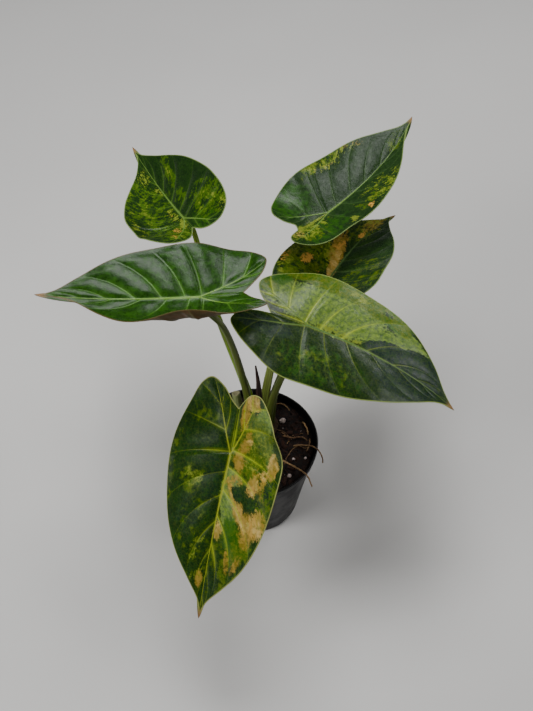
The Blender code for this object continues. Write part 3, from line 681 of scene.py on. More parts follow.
def vein_layout(leaf):
    """Rows of the blade's grid from the lobe's end at -1 over the junction at 0 to the tip at 1, and its veins."""
    draw = random.Random(leaf.number)
    front = [share + draw.uniform(-0.012, 0.012) for share in FRONT_VEINS]
    lobe = [-(share + draw.uniform(-0.015, 0.015)) for share in LOBE_VEINS]
    knots = np.array([-1.0, *lobe, *front, 1.0])
    rows = np.concatenate([between(0.0, 1.0, np.array(ROW_STEPS), a, b) for a, b in zip(knots, knots[1:])])
    rows = np.unique(np.append(rows, (0.0, 1.0)))
    left = np.searchsorted(rows, knots[1:-1])
    return rows, (left, left + RIGHT_SHIFT)


def half_blade(leaf, side, thickness, quilting, rib_width):
    """The patches of one half, as flat places with the measures that shape and colour them."""
    rows, veins = vein_layout(leaf)
    veins = veins[side]
    draw = random.Random(10 * leaf.number + side)
    outline = half_outline(leaf, side)
    turn = int(np.argmin(outline[:, 0]))
    outer = outline[turn::-1]
    inner = outline[:turn - 1:-1]
    ahead = rows >= 0
    along = np.clip(rows, 0.0, 1.0)
    back = np.clip(-rows, 0.0, 1.0)

    end = outer[0]
    knee = np.array([LOBE_KNEE[0] * leaf.lobe[side], LOBE_KNEE[1] * leaf.width[side]])
    lobe_rib = 2 * (back * (1 - back))[:, None] * knee + (back ** 2)[:, None] * end
    midrib = np.stack([along * leaf.length, np.zeros_like(along)], axis=1)
    source = np.where(ahead[:, None], midrib, lobe_rib)
    width = rib_width * np.where(ahead, 0.16 + 0.84 * (1 - along) ** 0.8, 0.16 + 0.64 * (1 - back) ** 0.8)

    run = run_along(outer)
    aim = np.interp((FIRST_ROW_AIM + draw.uniform(-0.02, 0.02)) * leaf.length, outer[:, 0], run / run[-1])
    forward = 1 - (1 - along) ** (2.5 + draw.uniform(-0.15, 0.15))
    backward = 1 - (1 - back) ** 1.5
    shares = np.where(ahead, aim + (1 - aim) * forward, aim * (1 - backward))
    bow = between(0.0, 1.0, ease((rows + 0.15) / 0.35), 0.06, 0.21)
    number = np.interp(rows, [-1.0, *rows[veins], 1.0], np.arange(len(veins) + 2))

    inside = np.flatnonzero(rows <= 0)[::-1]
    behind = [row for row in veins if rows[row] < 0]
    inner_veins = np.array([list(inside).index(row) for row in behind])
    notch = at_shares(inner, back[inside] ** 0.9)
    patches = [
        (number, veined_patch(source, at_shares(outer, shares), bow, width, veins, OUTER_COLUMNS), width),
        (number[inside], veined_patch(source[inside], notch, 0.1 * ease(back[inside] / 0.3), width[inside],
                                      inner_veins, INNER_COLUMNS), width[inside]),
    ]
    sign = -1 if side else 1
    made = []
    for order, (place, distance, t, spread, to_vein), rib in patches:
        flat = place.reshape(-1, 2)
        gap = np.abs(np.gradient(spread, axis=0) / np.maximum(np.abs(np.gradient(order)), TINY)[:, None])
        edge = to_line(flat, outline).reshape(t.shape)
        phase = np.broadcast_to(order[:, None], t.shape)
        puff = np.abs(np.sin(math.pi * phase)) ** 0.8 * np.clip(gap / PUFF_SPREAD, 0, 1)
        puff = quilting * leaf.puff * puff * ease(distance / PUFF_RIB_FADE) * ease(edge / PUFF_EDGE_FADE)
        half = thickness / 2 * np.sqrt(1 - (1 - np.clip(edge / EDGE_ROUND, 0, 1)) ** 2)
        rib_bell = bell(distance / (1.3 * rib[:, None])) * np.clip(edge / 3, 0, 1)
        vein_bell = bell(to_vein / 0.55) * np.clip(edge / 6, 0, 1) * (1 - 0.6 * t)
        top = half + RIB_RISE * rib_bell * rib[:, None] - VEIN_SINK * vein_bell * (1 - rib_bell)
        bottom = half + UNDER_RIB_RISE * bell(distance / (1.6 * rib[:, None])) * rib[:, None] * np.clip(edge / 3, 0, 1)
        bottom = bottom + UNDER_VEIN_RISE * bell(to_vein / 0.6) * np.clip(edge / 6, 0, 1) * (1 - 0.7 * t)
        vein_width = between(0.0, 1.0, t, 0.55, 0.2)
        made.append({
            "shape": t.shape, "flip": side == 1,
            "along": flat[:, 0], "across": sign * flat[:, 1],
            "puff": puff.ravel(), "top": top.ravel(), "bottom": bottom.ravel(),
            "flow": as_rows(phase, distance / 10, 0 * t),
            "lines": as_rows(distance / rib[:, None], to_vein / vein_width, edge),
        })
    return made


def tint_weights(leaf, kinds, along, across):
    """How strongly each place of the flat blade takes each of three tints, from 0 to 1."""
    weights = np.zeros((len(along), 3))
    if "glow" in kinds:
        weights[:, kinds.index("glow")] = np.where(across >= 0, *leaf.vein_strength)
    for column, kind in enumerate(kinds):
        for middle_along, middle_across, long, wide, turn, strength in leaf.tints.get(kind, ()):
            cosine, sine = math.cos(math.radians(turn)), math.sin(math.radians(turn))
            ahead, aside = along - middle_along, across - middle_across
            reach = np.hypot((ahead * cosine + aside * sine) / long, (aside * cosine - ahead * sine) / wide)
            weights[:, column] = np.maximum(weights[:, column], strength * (1 - ease(reach - TINT_FADE)))
    return weights


def blade_normals(leaf, along, across):
    """Upward normals of the bent blade, eased over the crease at the midrib."""
    step = np.full_like(along, NORMAL_STEP)
    ahead = bend_blade(leaf, along + step, across) - bend_blade(leaf, along - step, across)
    left = bend_blade(leaf, along, across + step) - bend_blade(leaf, along, across - step)
    normal = np.cross(ahead, left)
    return normal / np.linalg.norm(normal, axis=1, keepdims=True)


def build_leaf(leaf, blades):
    """One blade: an upper and an under skin, embossed by the veins, that meet in a rounded margin."""
    patches = [patch for side in (0, 1)
               for patch in half_blade(leaf, side, blades.thickness / MM, blades.quilting / MM, blades.rib_width / MM)]
    gathered = {key: np.concatenate([patch[key] for patch in patches])
                for key in ("along", "across", "puff", "top", "bottom", "flow", "lines")}
    along, across = gathered["along"], gathered["across"]
    normal = blade_normals(leaf, along, across)
    sway = 0.5 * np.sin(along / 19 + leaf.number) * np.sin(across / 15 + 2 * leaf.number)
    middle = bend_blade(leaf, along, across) + normal * (gathered["puff"] + sway)[:, None]
    upper = middle + normal * gathered["top"][:, None]
    under = middle - normal * gathered["bottom"][:, None]
    count = len(along)
    faces, grade = [], []
    for skin, turned in ((0, False), (1, True)):
        first = skin * count
        for patch in patches:
            rows, columns = patch["shape"]
            made = grid_faces(rows, columns, first, flip=patch["flip"] != turned)
            faces.append(made)
            grade.append(np.full(len(made), skin))
            first += rows * columns
    attributes = {
        "flat": as_rows(along / 10, across / 10, float(leaf.number)),
        "flow": gathered["flow"],
        "lines": gathered["lines"],
        "fleck": tint_weights(leaf, FLECKS, along, across),
        "wash": tint_weights(leaf, WASHES, along, across),
        "haze": tint_weights(leaf, HAZES, along, across),
    }
    attributes = {title: np.vstack([values, values]) for title, values in attributes.items()}
    finishes = [upper_finish(leaf, blades), under_finish(leaf, blades)]
    pose = np.array(blade_pose(leaf).to_matrix())
    points = np.vstack([upper, under]) @ pose.T + leaf.junction
    return new_piece(f"blade_{leaf.number}", points, np.vstack(faces), finishes, f"leaf_{leaf.number}",
                     attributes, np.concatenate(grade))


def upper_finish(leaf, blades):
    """The waxy upper skin: mottled green tissue, ragged patches of colour, pale veins and a pale edge."""
    look = Finish(f"blade_{leaf.number}_upper", Specular_IOR_Level=0.2)
    flat, (tip_run, _, _) = look.attribute("flat")
    flow, (_, reach, _) = look.attribute("flow")
    _, (rib, vein, edge) = look.attribute("lines")
    _, (lime, cream, orange) = look.attribute("fleck")
    _, (pale, dark, bright) = look.attribute("wash")
    _, (olive, ochre, glow) = look.attribute("haze")
    shift = 7.0 * leaf.number

    def streaks(along, across, start):
        return look.noise(look.scaled(flow, (across, along, 0.0), (shift + start, start, 0.0)), 1.0, 4.0, 0.62, 0.5)

    def blotches(scale, start, roughness=0.6):
        return look.noise(look.scaled(flat, (1.0, 1.0, 0.0), (start, shift, 0.0)), scale, 4.0, roughness)

    def laid(under, share, strength, tone):
        """A tone over the colours under it, as strong as its patch times a strength."""
        return look.mix(look.math("MULTIPLY", share, strength), under, tone)

    def patch(weight, soft, *grains):
        """Where a patch of colour shows, its edge broken up by noises that are each given with their strength."""
        level, middle = weight, 0.5
        for grain, strength in grains:
            level = look.math("MULTIPLY_ADD", grain, strength, level)
            middle += strength / 2
        shown = look.ramp(level, middle - soft, middle + soft)
        return look.math("MULTIPLY", shown, look.ramp(weight, 0.0, 0.25))

    broad = blotches(0.45, 0.0)
    clump = blotches(1.0, 47.0, 0.5)
    mottle = blotches(2.2, 5.0)
    cloud = blotches(3.4, 11.0, 0.7)
    speck = blotches(5.5, 17.0, 0.7)
    streak = streaks(1.2, 4.0, 0.0)
    line = streaks(1.6, 5.5, 23.0)
    threads = streaks(0.9, 7.0, 41.0)

    lit = look.math("ADD", look.ramp(vein, 1.0, 14.0, 0.3, 0.0), look.ramp(broad, 0.4, 0.62, 0.0, 0.35))
    lit = look.math("ADD", lit, look.ramp(streak, 0.36, 0.66, -0.2, 0.45))
    colour = look.layers(look.mix(lit, leaf.green, leaf.light), (cloud, 0.42, 0.62, 0.5, 0.0, blades.deep))

    soft = 0.32 - 0.2 * leaf.grain
    share = patch(pale, 0.16, (line, 1.1), (cloud, 1.2), (speck, 0.6))
    tone = look.layers(blades.grey, (cloud, 0.34, 0.64, blades.pale), (threads, 0.42, 0.66, 0.0, 0.6, blades.moss))
    colour = laid(colour, share, 0.92, tone)
    colour = laid(colour, patch(bright, 0.3, (streak, 1.2), (mottle, 1.0)), 0.85, blades.bright)
    share = patch(olive, soft, (clump, 1.7), (mottle, 1.2), (threads, 1.8 * leaf.grain), (speck, 1.4 * leaf.grain))
    colour = laid(colour, share, 0.85, look.layers(blades.moss, (cloud, 0.38, 0.62, 0.0, leaf.mild, blades.olive)))
    share = patch(ochre, soft, (clump, 1.2), (threads, 1.8 * leaf.grain), (cloud, 1.2), (speck, 0.9))
    colour = laid(colour, share, 0.88, look.layers(blades.ochre, (mottle, 0.4, 0.6, 0.0, 0.7, blades.tan)))
    share = patch(lime, 0.1, (clump, 1.5), (cloud, 1.1), (threads, 1.8), (speck, 1.5))
    colour = laid(colour, share, 0.85, blades.lime)
    share = patch(cream, 0.2, (line, 1.0), (mottle, 0.9), (threads, 1.3), (speck, 1.1))
    tone = look.layers(blades.cream, (streak, 0.36, 0.6, blades.tan), (threads, 0.5, 0.66, 0.0, 0.4, blades.lime),
                       (clump, 0.46, 0.6, 0.0, 0.6, blades.ochre))
    colour = laid(colour, share, look.ramp(cloud, 0.36, 0.52, 0.5, 0.95), tone)
    colour = laid(colour, patch(orange, 0.1, (line, 1.4), (cloud, 1.4), (speck, 1.2)), 0.9, blades.orange)
    # Dark slate patches; the one on the fifth leaf's near lobe is painted reflection.
    slate_and_sheen = patch(dark, 0.05, (streak, 0.9), (cloud, 1.3), (speck, 0.9))
    tone = look.layers(look.mix(leaf.dusk, leaf.green, blades.slate), (mottle, 0.42, 0.66, 0.0, 0.6, leaf.light))
    colour = look.mix(slate_and_sheen, colour, tone)

    net = look.cells(look.scaled(flat, (1.0, 1.0, 0.0), (0.0, shift, 0.0)), 3.6)
    colour = look.layers(colour, (net, 0.0, 0.09, 0.07, 0.0, leaf.veins))
    lighter = look.mix(1.0, colour, VEIN_GAIN, "MULTIPLY")
    lighter = look.mix(0.4 + 0.4 * leaf.vein_strength[0], lighter, leaf.veins)
    fade = look.math("MULTIPLY", glow, look.ramp(reach, 0.4, 4.6, 1.0, 0.35))
    fade = look.math("MULTIPLY", fade, look.ramp(slate_and_sheen, 0.0, 1.0, 1.0, 0.35))
    fade = look.math("MULTIPLY", fade, look.ramp(tip_run, leaf.length * 0.05, leaf.length * 0.08, 1.0, 0.4))
    halo = look.math("MULTIPLY", look.ramp(vein, 0.8, 6.0, 0.4, 0.0), look.ramp(fade, 0.25, 0.9))
    colour = look.mix(halo, colour, lighter)
    colour = look.mix(look.math("MULTIPLY", look.ramp(vein, 0.5, 1.5, 1.0, 0.0), fade), colour, lighter)
    midrib = look.layers(RIB_GROOVE, (rib, 0.1, 0.8, 0.35, 0.95, leaf.rib))
    colour = look.layers(
        colour, (rib, 0.8, 3.0, 0.25, 0.0, leaf.veins), (rib, 0.75, 1.05, 1.0, 0.0, midrib),
        (edge, 0.45, 1.1, 0.85, 0.0, leaf.edge),
        (tip_run, (leaf.length - 12) / 10, (leaf.length - 3) / 10, blades.tip))

    height = look.math("MULTIPLY_ADD", speck, 0.08, look.math("MULTIPLY", cloud, 0.2))
    height = look.math("MULTIPLY_ADD", blotches(0.9, 31.0, 0.4), 3.0, height)
    height = look.math("MULTIPLY_ADD", look.ramp(net, 0.0, 0.14), 0.06, height)
    return look.finish(colour, look.ramp(mottle, 0.3, 0.7, 0.24, 0.34), height, 0.2 * MM)


def under_finish(leaf, blades):
    """The matt, bronzed underside with its green veins."""
    look = Finish(f"blade_{leaf.number}_under", Specular_IOR_Level=0.2)
    flat, _ = look.attribute("flat")
    flow, _ = look.attribute("flow")
    _, (rib, vein, edge) = look.attribute("lines")
    streak = look.noise(look.scaled(flow, (6.0, 1.0, 0.0)), 1.0, 2.0, 0.5)
    speck = look.noise(flat, 2.6, 2.0, 0.5)
    ripple = look.noise(flat, 1.4, 1.0, 0.4)
    colour = look.layers(
        blades.under, (streak, 0.3, 0.7, UNDER_STREAK), (speck, 0.4, 0.7, 0.0, 0.4, UNDER_SPECK),
        (vein, 0.8, 4.0, 0.6, 0.0, UNDER_VEIN), (rib, 1.2, 2.2, 0.9, 0.0, UNDER_RIB),
        (edge, 0.3, 0.8, 0.7, 0.0, leaf.edge))
    return look.finish(colour, look.ramp(streak, 0.3, 0.7, 0.45, 0.6), ripple, 0.1 * MM)


def sweep_points(way, reach_at, sides, inward):
    """Rings of points round a path. reach_at gives each ring's radii, and inward is where their first points face."""
    tangent = np.gradient(way, axis=0)
    tangent /= np.linalg.norm(tangent, axis=1, keepdims=True)
    facing = inward - np.sum(inward * tangent, axis=1, keepdims=True) * tangent
    facing /= np.linalg.norm(facing, axis=1, keepdims=True)
    across = np.cross(tangent, facing)
    angle = ring_angles(sides)
    radii = reach_at(np.linspace(0.0, 1.0, len(way))[:, None], angle[None])
    flat = np.stack([radii * np.cos(angle), radii * np.sin(angle)], axis=2)
    rings = way[:, None] + flat[..., :1] * facing[:, None] + flat[..., 1:] * across[:, None]
    return rings, flat, angle


def capped_faces(rows, sides, first=0):
    """Faces of a closed sweep: its wall and an end disc at either end."""
    wall = grid_faces(rows, sides, first, closed=True).tolist()
    start = list(range(first, first + sides))
    finish = list(range(first + (rows - 1) * sides, first + rows * sides))
    return wall + [start, finish[::-1]]


def socket_place(leaf):
    """Middle of a petiole's socket, as x and y."""
    x, y = polar(SOCKET_CIRCLE, math.radians(leaf.socket))
    return CROWN[0] + x, CROWN[1] + y


def sheathed(share):
    """How fully a petiole has its sheath at a share of its length, from 1 at the foot down to 0."""
    return 1 - ease((share - SHEATH_FADE[0]) / SHEATH_FADE[1])


def build_petiole(leaf, stalks):
    """One stalk: round, grooved on the side that faces the crown, with sheath wings on its lowest third."""
    up = np.array(blade_pose(leaf).to_matrix() @ Vector((0, 0, 1)))
    end = np.array(leaf.junction, float) - 0.2 * up
    x, y = socket_place(leaf)
    collar = (x, y, STEM_TOP + COLLAR_HEIGHT)
    way = spline([collar, *leaf.route, end - up * STRAIGHT_END, end], 14)
    foot = between(0.0, 1.0, np.linspace(0.0, 1.0, 6, endpoint=False)[:, None],
                   np.array([x, y, SOCKET_FLOOR]), np.array(collar))
    way = at_shares(np.vstack([foot, way]), np.linspace(0.0, 1.0, PETIOLE_RINGS))
    foot_radius, top_radius = stalks.foot_radius / MM, stalks.top_radius / MM
    rise = way[:, 2] - STEM_TOP
    start = rise[0] / (rise[-1] - rise[0])

    def reach_at(share, angle):
        above = np.clip((share + start) / (1 + start), 0.0, 1.0)
        radius = between(0.0, 1.0, above ** PETIOLE_TAPER, foot_radius, top_radius)
        groove = GROOVE_DEPTH + SHEATH_GROOVE * sheathed(share)
        wing = stalks.wing_height / MM * sheathed(share) * ease((share - 0.02) / 0.06)
        lips = bell((np.abs(angle) - WING_PLACE) / 0.17)
        return radius * (1 - groove * bell(angle / GROOVE_WIDTH)) + wing * lips

    inward = np.array([CROWN[0], CROWN[1], 0.0]) - way * (1, 1, 0)
    inward = inward / np.linalg.norm(inward, axis=1, keepdims=True) + (0, 0, 0.4)
    rings, flat, angle = sweep_points(way, reach_at, PETIOLE_SIDES, inward)
    grain = as_rows(flat[..., 0], flat[..., 1], run_along(way)[:, None] / 10)
    share = np.linspace(0.0, 1.0, len(way))[:, None]
    wing = sheathed(share) * bell((np.abs(angle) - WING_PLACE) / 0.14)
    # The last mark is where the groove's painted shade falls.
    marks = as_rows(share, wing, bell(angle / 0.5))
    return new_piece(f"stalk_{leaf.number}", rings.reshape(-1, 3), capped_faces(len(way), PETIOLE_SIDES),
                     [stalk_finish(leaf, stalks)], f"petiole_{leaf.number}",
                     {"grain": grain, "marks": marks})


def stalk_finish(leaf, stalks):
    """Olive skin with fine lengthwise streaks, painted shade in its groove and dry brown edges on the sheath's wings.
    """
    look = Finish(f"stalk_{leaf.number}_skin", Specular_IOR_Level=0.28)
    grain, _ = look.attribute("grain")
    _, (share, wing, groove_shade) = look.attribute("marks")
    streak = look.noise(look.scaled(grain, (1.6, 1.6, 0.10), (leaf.number * 3.0, 0.0, 0.0)), 1.0, 4.0, 0.6)
    blotch = look.noise(look.scaled(grain, (0.25, 0.25, 0.5)), 1.0, 3.0, 0.5)
    speck = look.noise(grain, 3.0, 3.0, 0.7)
    # The first petiole's brighter colour is painted light: it looks lit, as if the leaves above cast no shade on it.
    tone = {1: stalks.lit_petiole, 2: stalks.pale}.get(leaf.number, stalks.olive)
    colour = look.layers(
        tone, (streak, 0.32, 0.68, stalks.shade), (blotch, 0.45, 0.75, 0.0, 0.5, STALK_BLOTCH),
        (share, 0.0, 0.16, 0.55, 0.0, STALK_FOOT))
    # Painted shade: the groove that faces the crown is darkened.
    colour = look.mix(look.math("MULTIPLY", groove_shade, 0.35), colour, STALK_GROOVE_SHADE)
    dry = look.math("ADD", wing, look.ramp(speck, 0.3, 0.7, -0.2, 0.2))
    colour = look.layers(colour, (dry, 0.55, 0.95, 0.0, 0.9, WING_EDGE))
    height = look.math("ADD", streak, look.math("MULTIPLY", speck, 0.4))
    return look.finish(colour, look.ramp(streak, 0.3, 0.7, 0.38, 0.55), height, 0.18 * MM)


def build_sheath(stalks):
    """The withered sheath: a dry skin rolled in on itself, creased along its length."""
    route = [(CROWN[0] + x, CROWN[1] + y, z, radius) for x, y, z, radius in SHEATH]
    way = spline(route, 16)
    radii = way[:, 3:]

    def reach_at(share, angle):
        crease = 0.10 * np.sin(5 * angle + 6 * share) + 0.06 * np.sin(11 * angle - 9 * share)
        roll = 0.22 * angle / math.pi
        return radii * (0.95 + crease + roll - 0.5 * bell((angle - 2.6) / 0.3))

    inward = np.tile((0.3, -1.0, 0.0), (len(way), 1))
    rings, flat, _ = sweep_points(way[:, :3], reach_at, SHEATH_SIDES, inward)
    grain = as_rows(flat[..., 0], flat[..., 1], run_along(way[:, :3])[:, None] / 10)
    look = Finish("withered_sheath_skin")
    vector, _ = look.attribute("grain")
    streak = look.noise(look.scaled(vector, (2.2, 2.2, 0.12)), 1.0, 4.0, 0.65)
    blotch = look.noise(vector, 0.7, 3.0, 0.6)
    colour = look.layers(
        stalks.withered, (streak, 0.3, 0.7, SHEATH_CREASE), (blotch, 0.5, 0.72, 0.0, 0.7, SHEATH_BLOTCH))
    finish = look.finish(colour, look.ramp(streak, 0.3, 0.7, 0.55, 0.8), streak, 0.5 * MM)
    return new_piece("rolled_sheath", rings.reshape(-1, 3), capped_faces(len(way), SHEATH_SIDES), [finish],
                     "withered_sheath", {"grain": grain})


def build_stub(stalks):
    """The stub of a cut petiole, with a sunken dry face."""
    foot, top = np.array(STUB_FOOT), np.array(STUB_TOP)
    face_shares, face_sizes = np.transpose(STUB_FACE)
    shares = np.concatenate([np.linspace(0, 0.97, STUB_RINGS), face_shares])[:, None]
    sizes = np.concatenate([np.linspace(1.0, 0.9, STUB_RINGS), face_sizes])[:, None]
    way = foot + shares * (top - foot)
    angle = ring_angles(STUB_SIDES)
    lean = Vector(top - foot).normalized()
    turn = np.array(Vector((0, 0, 1)).rotation_difference(lean).to_matrix())
    radii = STUB_RADIUS * sizes * (1 + 0.05 * np.sin(3 * angle) + 0.02 * np.sin(9 * angle))
    radii = radii * (1 - 0.18 * bell((angle - 1.2) / 0.5))
    flat = np.stack([radii * np.cos(angle), radii * np.sin(angle), 0 * radii], axis=2)
    rings = way[:, None] + flat @ turn.T
    grain = as_rows(flat[..., 0], flat[..., 1], shares * 3.5)
    face = as_rows(sizes, 0 * radii, 0 * radii)
    look = Finish("cut_stub_skin")
    vector, _ = look.attribute("grain")
    _, (size, _, _) = look.attribute("face")
    streak = look.noise(look.scaled(vector, (1.8, 1.8, 0.25)), 1.0, 4.0, 0.6)
    speck = look.noise(vector, 3.5, 3.0, 0.6)
    colour = look.layers(
        stalks.stub, (streak, 0.3, 0.7, STUB_STREAK), (size, 0.78, 0.9, 0.75, 0.0, STUB_DRY),
        (speck, 0.5, 0.7, 0.0, 0.5, STUB_SPECK))
    finish = look.finish(colour, 0.6, look.math("ADD", streak, speck), 0.25 * MM)
    return new_piece("cut_stub", rings.reshape(-1, 3), capped_faces(len(shares), STUB_SIDES), [finish],
                     "cut_petiole", {"grain": grain, "face": face}, sharp=50)


def build_stem_base(stalks):
    """The short stem under the petioles, ringed with the scars of old leaves."""
    levels = list(np.linspace(STEM_FOOT, STEM_TOP, STEM_RINGS))
    radii = []
    for z in levels:
        low = max(0.0, (STEM_FOOT + FOOT_ROUND - z) / FOOT_ROUND)
        high = max(0.0, (z - STEM_TOP + SHOULDER) / SHOULDER)
        foot_round = FOOT_ROUND * (1 - math.sqrt(max(0.0, 1 - low ** 2)))
        radii.append(STEM_RADIUS - foot_round - SHOULDER * high ** 2)
    shoulder_radius = radii[-1]
    for radius, rise in STEM_DOME:
        radii.append(radius * shoulder_radius / STEM_RADIUS)
        levels.append(STEM_TOP + rise)
    points = []
    for radius, z in zip(radii, levels):
        for turn in ring_angles(STEM_SIDES):
            x, y = polar(radius, turn)
            scar = 0.5 * math.sin(z * 1.15 + 0.8 * math.sin(2 * turn))
            rough = 0.8 * hills.noise(Vector((x, y, z)) * 0.35) + 0.35 * hills.noise(Vector((x, y, z)) * 1.2)
            swell = 1 + (scar + rough - 0.6) / max(radius, 6)
            points.append((CROWN[0] + x * swell, CROWN[1] + y * swell, z + 0.5 * rough))
    look = Finish("stem_skin")
    place = look.node("TexCoord", output="Object")
    grain = look.noise(look.scaled(place, (260.0, 260.0, 700.0)), 1.0, 4.0, 0.65)
    speck = look.noise(place, 900.0, 3.0, 0.6)
    colour = look.layers(stalks.stem, (grain, 0.3, 0.7, STEM_CREASE), (speck, 0.55, 0.75, 0.0, 0.6, STEM_SPECK))
    finish = look.finish(colour, 0.82, look.math("ADD", grain, speck), 0.6 * MM)
    return new_piece("stem_foot", points, capped_faces(len(levels), STEM_SIDES), [finish], "stem_base",
                     sharp=60)


def wall_radius(pot, height):
    """Outer radius of the pot's wall below the band, in millimetres."""
    band_foot = (pot.height - pot.band_height) / MM
    return between(0.0, band_foot, height, pot.base_radius / MM, pot.rim_radius / MM - BAND_STEP - pot.wall / MM)


def build_pot(pot):
    """The moulded pot: a thin tapered wall, a stepped band with a rolled rim, a ring foot and drain holes."""
    rim, height, wall = pot.rim_radius / MM, pot.height / MM, pot.wall / MM
    band_foot = height - pot.band_height / MM
    base = pot.base_radius / MM
    # Inside, from the middle of the floor to the lip
    profile = [(radius, FLOOR_TOP) for radius in (*FLOOR_RADII, base - wall - 1.6)]
    profile += [(wall_radius(pot, 3.4) - wall, 3.4)]
    profile += [(wall_radius(pot, z) - wall, z) for z in np.linspace(6.0, band_foot, 16)]
    profile += [(rim - 3.2, band_foot + 1.0), (rim - 2.5, band_foot + 2.4), (rim - 2.4, height - 1.4)]
    for turn in np.radians(np.arange(*LIP_TURN)):
        out, up = polar(LIP_RADIUS, turn)
        profile.append((rim - LIP_RADIUS + out, height - LIP_RADIUS + up))
    # Outside, down the band and the wall, then in over the ring foot and the underside
    profile += [(rim - wall, height - 3.0), (rim - wall, band_foot + 0.6), (rim - wall - 0.4, band_foot),
                (wall_radius(pot, band_foot) + 0.3, band_foot - 0.8),
                (wall_radius(pot, band_foot - 1.6), band_foot - 1.6)]
    profile += [(wall_radius(pot, z), z) for z in np.linspace(band_foot - 6.0, 4.0, 14)]
    profile += [(base + 0.2, 2.2), (base - 0.3, 0.9), (base - 1.4, 0.15), (base - 2.4, 0.0), (base - 5.0, 0.0),
                (base - 5.8, 0.3)]
    profile += [(radius, FLOOR_UNDERSIDE) for radius in (base - 6.2, *FLOOR_RADII[::-1])]
    angle = ring_angles(POT_SIDES)
    radii, levels = np.array(profile, float).T[:, :, None]
    points = as_rows(radii * np.cos(angle), radii * np.sin(angle), levels)
    look = Finish("moulded_black_plastic", Specular_IOR_Level=0.25)
    place = look.node("TexCoord", output="Object")
    streak = look.noise(look.scaled(place, (90.0, 90.0, 400.0)), 1.0, 4.0, 0.6)
    grit = look.noise(place, 1400.0, 3.0, 0.6)
    dust = look.noise(place, 60.0, 4.0, 0.6)
    colour = look.layers(
        pot.plastic, (dust, 0.5, 0.75, 0.0, 0.35, POT_DUST), (streak, 0.55, 0.75, 0.0, 0.4, POT_STREAK))
    height_map = look.math("ADD", grit, look.math("MULTIPLY", streak, 0.6))
    finish = look.finish(colour, look.ramp(dust, 0.35, 0.7, pot.roughness - 0.06, pot.roughness + 0.14),
                         height_map, 0.06 * MM)
    body = new_piece("nursery_pot", points, capped_faces(len(profile), POT_SIDES), [finish], "pot",
                     sharp=42)
    form = bmesh.new()
    for hole in range(HOLE_COUNT):
        x, y = polar(HOLE_CIRCLE * MM, math.tau * hole / HOLE_COUNT)
        bmesh.ops.create_cone(form, cap_ends=True, segments=HOLE_SIDES, radius1=HOLE_RADIUS * MM,
                              radius2=HOLE_RADIUS * MM, depth=HOLE_DEPTH * MM, matrix=Matrix.Translation((x, y, MM)))
    cutter_mesh = bpy.data.meshes.new("drain_holes")
    form.to_mesh(cutter_mesh)
    form.free()
    cutter = bpy.data.objects.new("drain_holes", cutter_mesh)
    bpy.context.scene.collection.objects.link(cutter)
    cut = body.modifiers.new("drain_holes", "BOOLEAN")
    cut.operation = "DIFFERENCE"
    cut.object = cutter
    cut.solver = "EXACT"
    graph = bpy.context.evaluated_depsgraph_get()
    drilled = bpy.data.meshes.new_from_object(body.evaluated_get(graph), depsgraph=graph)
    body.modifiers.clear()
    body.data = drilled
    bpy.data.objects.remove(cutter)


def relief(x, y, edge):
    """Height of the mix's uneven top, which is level at the pot's wall."""
    middle = 1 - min(1.0, math.hypot(x, y) / edge) ** 4
    long_x, long_y, short = MIX_WAVES
    return MIX_RELIEF * middle * (math.sin(x / long_x) * math.cos(y / long_y) + math.sin((x + y) / short) / 2)


def bed_height(mix, x, y, edge):
    """Height of the bed's top with its small lumps."""
    lumps = sum(height * hills.noise(Vector((x, y, shift)) * scale) for height, scale, shift in LUMPS)
    return mix.level / MM + relief(x, y, edge) + lumps * min(1.0, (edge - math.hypot(x, y)) / LUMPS_FADE)


def mix_edge(pot, mix, play):
    """Radius of the mix's top, which stands off from the pot's wall by the play."""
    return wall_radius(pot, mix.level / MM) - pot.wall / MM - play


def mix_finish(mix, name, tone_shift=0.0):
    """Peat and bark: each bit has its own tone, and fibres run through it."""
    look = Finish(name)
    place = look.node("TexCoord", output="Object")
    _, (tone, _, _) = look.attribute("tone")
    fibre = look.noise(place, 420.0, 5.0, 0.7, 0.6)
    grit = look.noise(place, 1900.0, 3.0, 0.65)
    blend = look.math("ADD", tone, look.ramp(fibre, 0.3, 0.7, -0.3 + tone_shift, 0.3 + tone_shift))
    colour = look.layers(mix.peat, (blend, 0.1, 1.0, mix.bark), (grit, 0.58, 0.78, 0.0, 0.35, mix.fibre))
    return look.finish(colour, look.ramp(fibre, 0.3, 0.7, 0.75, 0.95), look.math("ADD", fibre, grit), 0.5 * MM)


def build_bed(pot, mix):
    """The body of the potting mix, with a lumpy top."""
    level = mix.level / MM
    edge = mix_edge(pot, mix, BED_PLAY)
    angle = ring_angles(BED_SIDES)
    points = []
    for reach in edge * np.linspace(0.01, 1.0, BED_RINGS) ** 0.9:
        for turn in angle:
            x, y = polar(reach, turn)
            points.append((x, y, bed_height(mix, x, y, edge)))
    side_rings = ((level - 8, BED_PLAY), (level - 40, BED_PLAY), (3.0, BED_PLAY), (2.2, 1.5))
    for z, play in side_rings:
        reach = wall_radius(pot, z) - pot.wall / MM - play
        points += [(*polar(reach, turn), z) for turn in angle]
    tone = [(0.35 + 0.5 * hills.noise(Vector(point) * 0.25), 0, 0) for point in points]
    return new_piece("mix_bed", points, capped_faces(BED_RINGS + len(side_rings), BED_SIDES),
                     [mix_finish(mix, "peat")], "potting_mix", {"tone": tone})


class Heap:
    """Many small closed bits gathered into one mesh, each with its own tone."""

    def __init__(self):
        self.points, self.faces, self.tones = [], [], []

    def add(self, points, faces, tone):
        """Adds one bit."""
        first = len(self.points)
        self.points += [tuple(point) for point in points]
        self.faces += [[first + corner for corner in face] for face in faces]
        self.tones += [(tone, 0.0, 0.0)] * len(points)


def taken_apart(form):
    """The points and faces of a bmesh, which is freed."""
    form.verts.index_update()
    points = [tuple(point.co) for point in form.verts]
    faces = [[point.index for point in face.verts] for face in form.faces]
    form.free()
    return points, faces


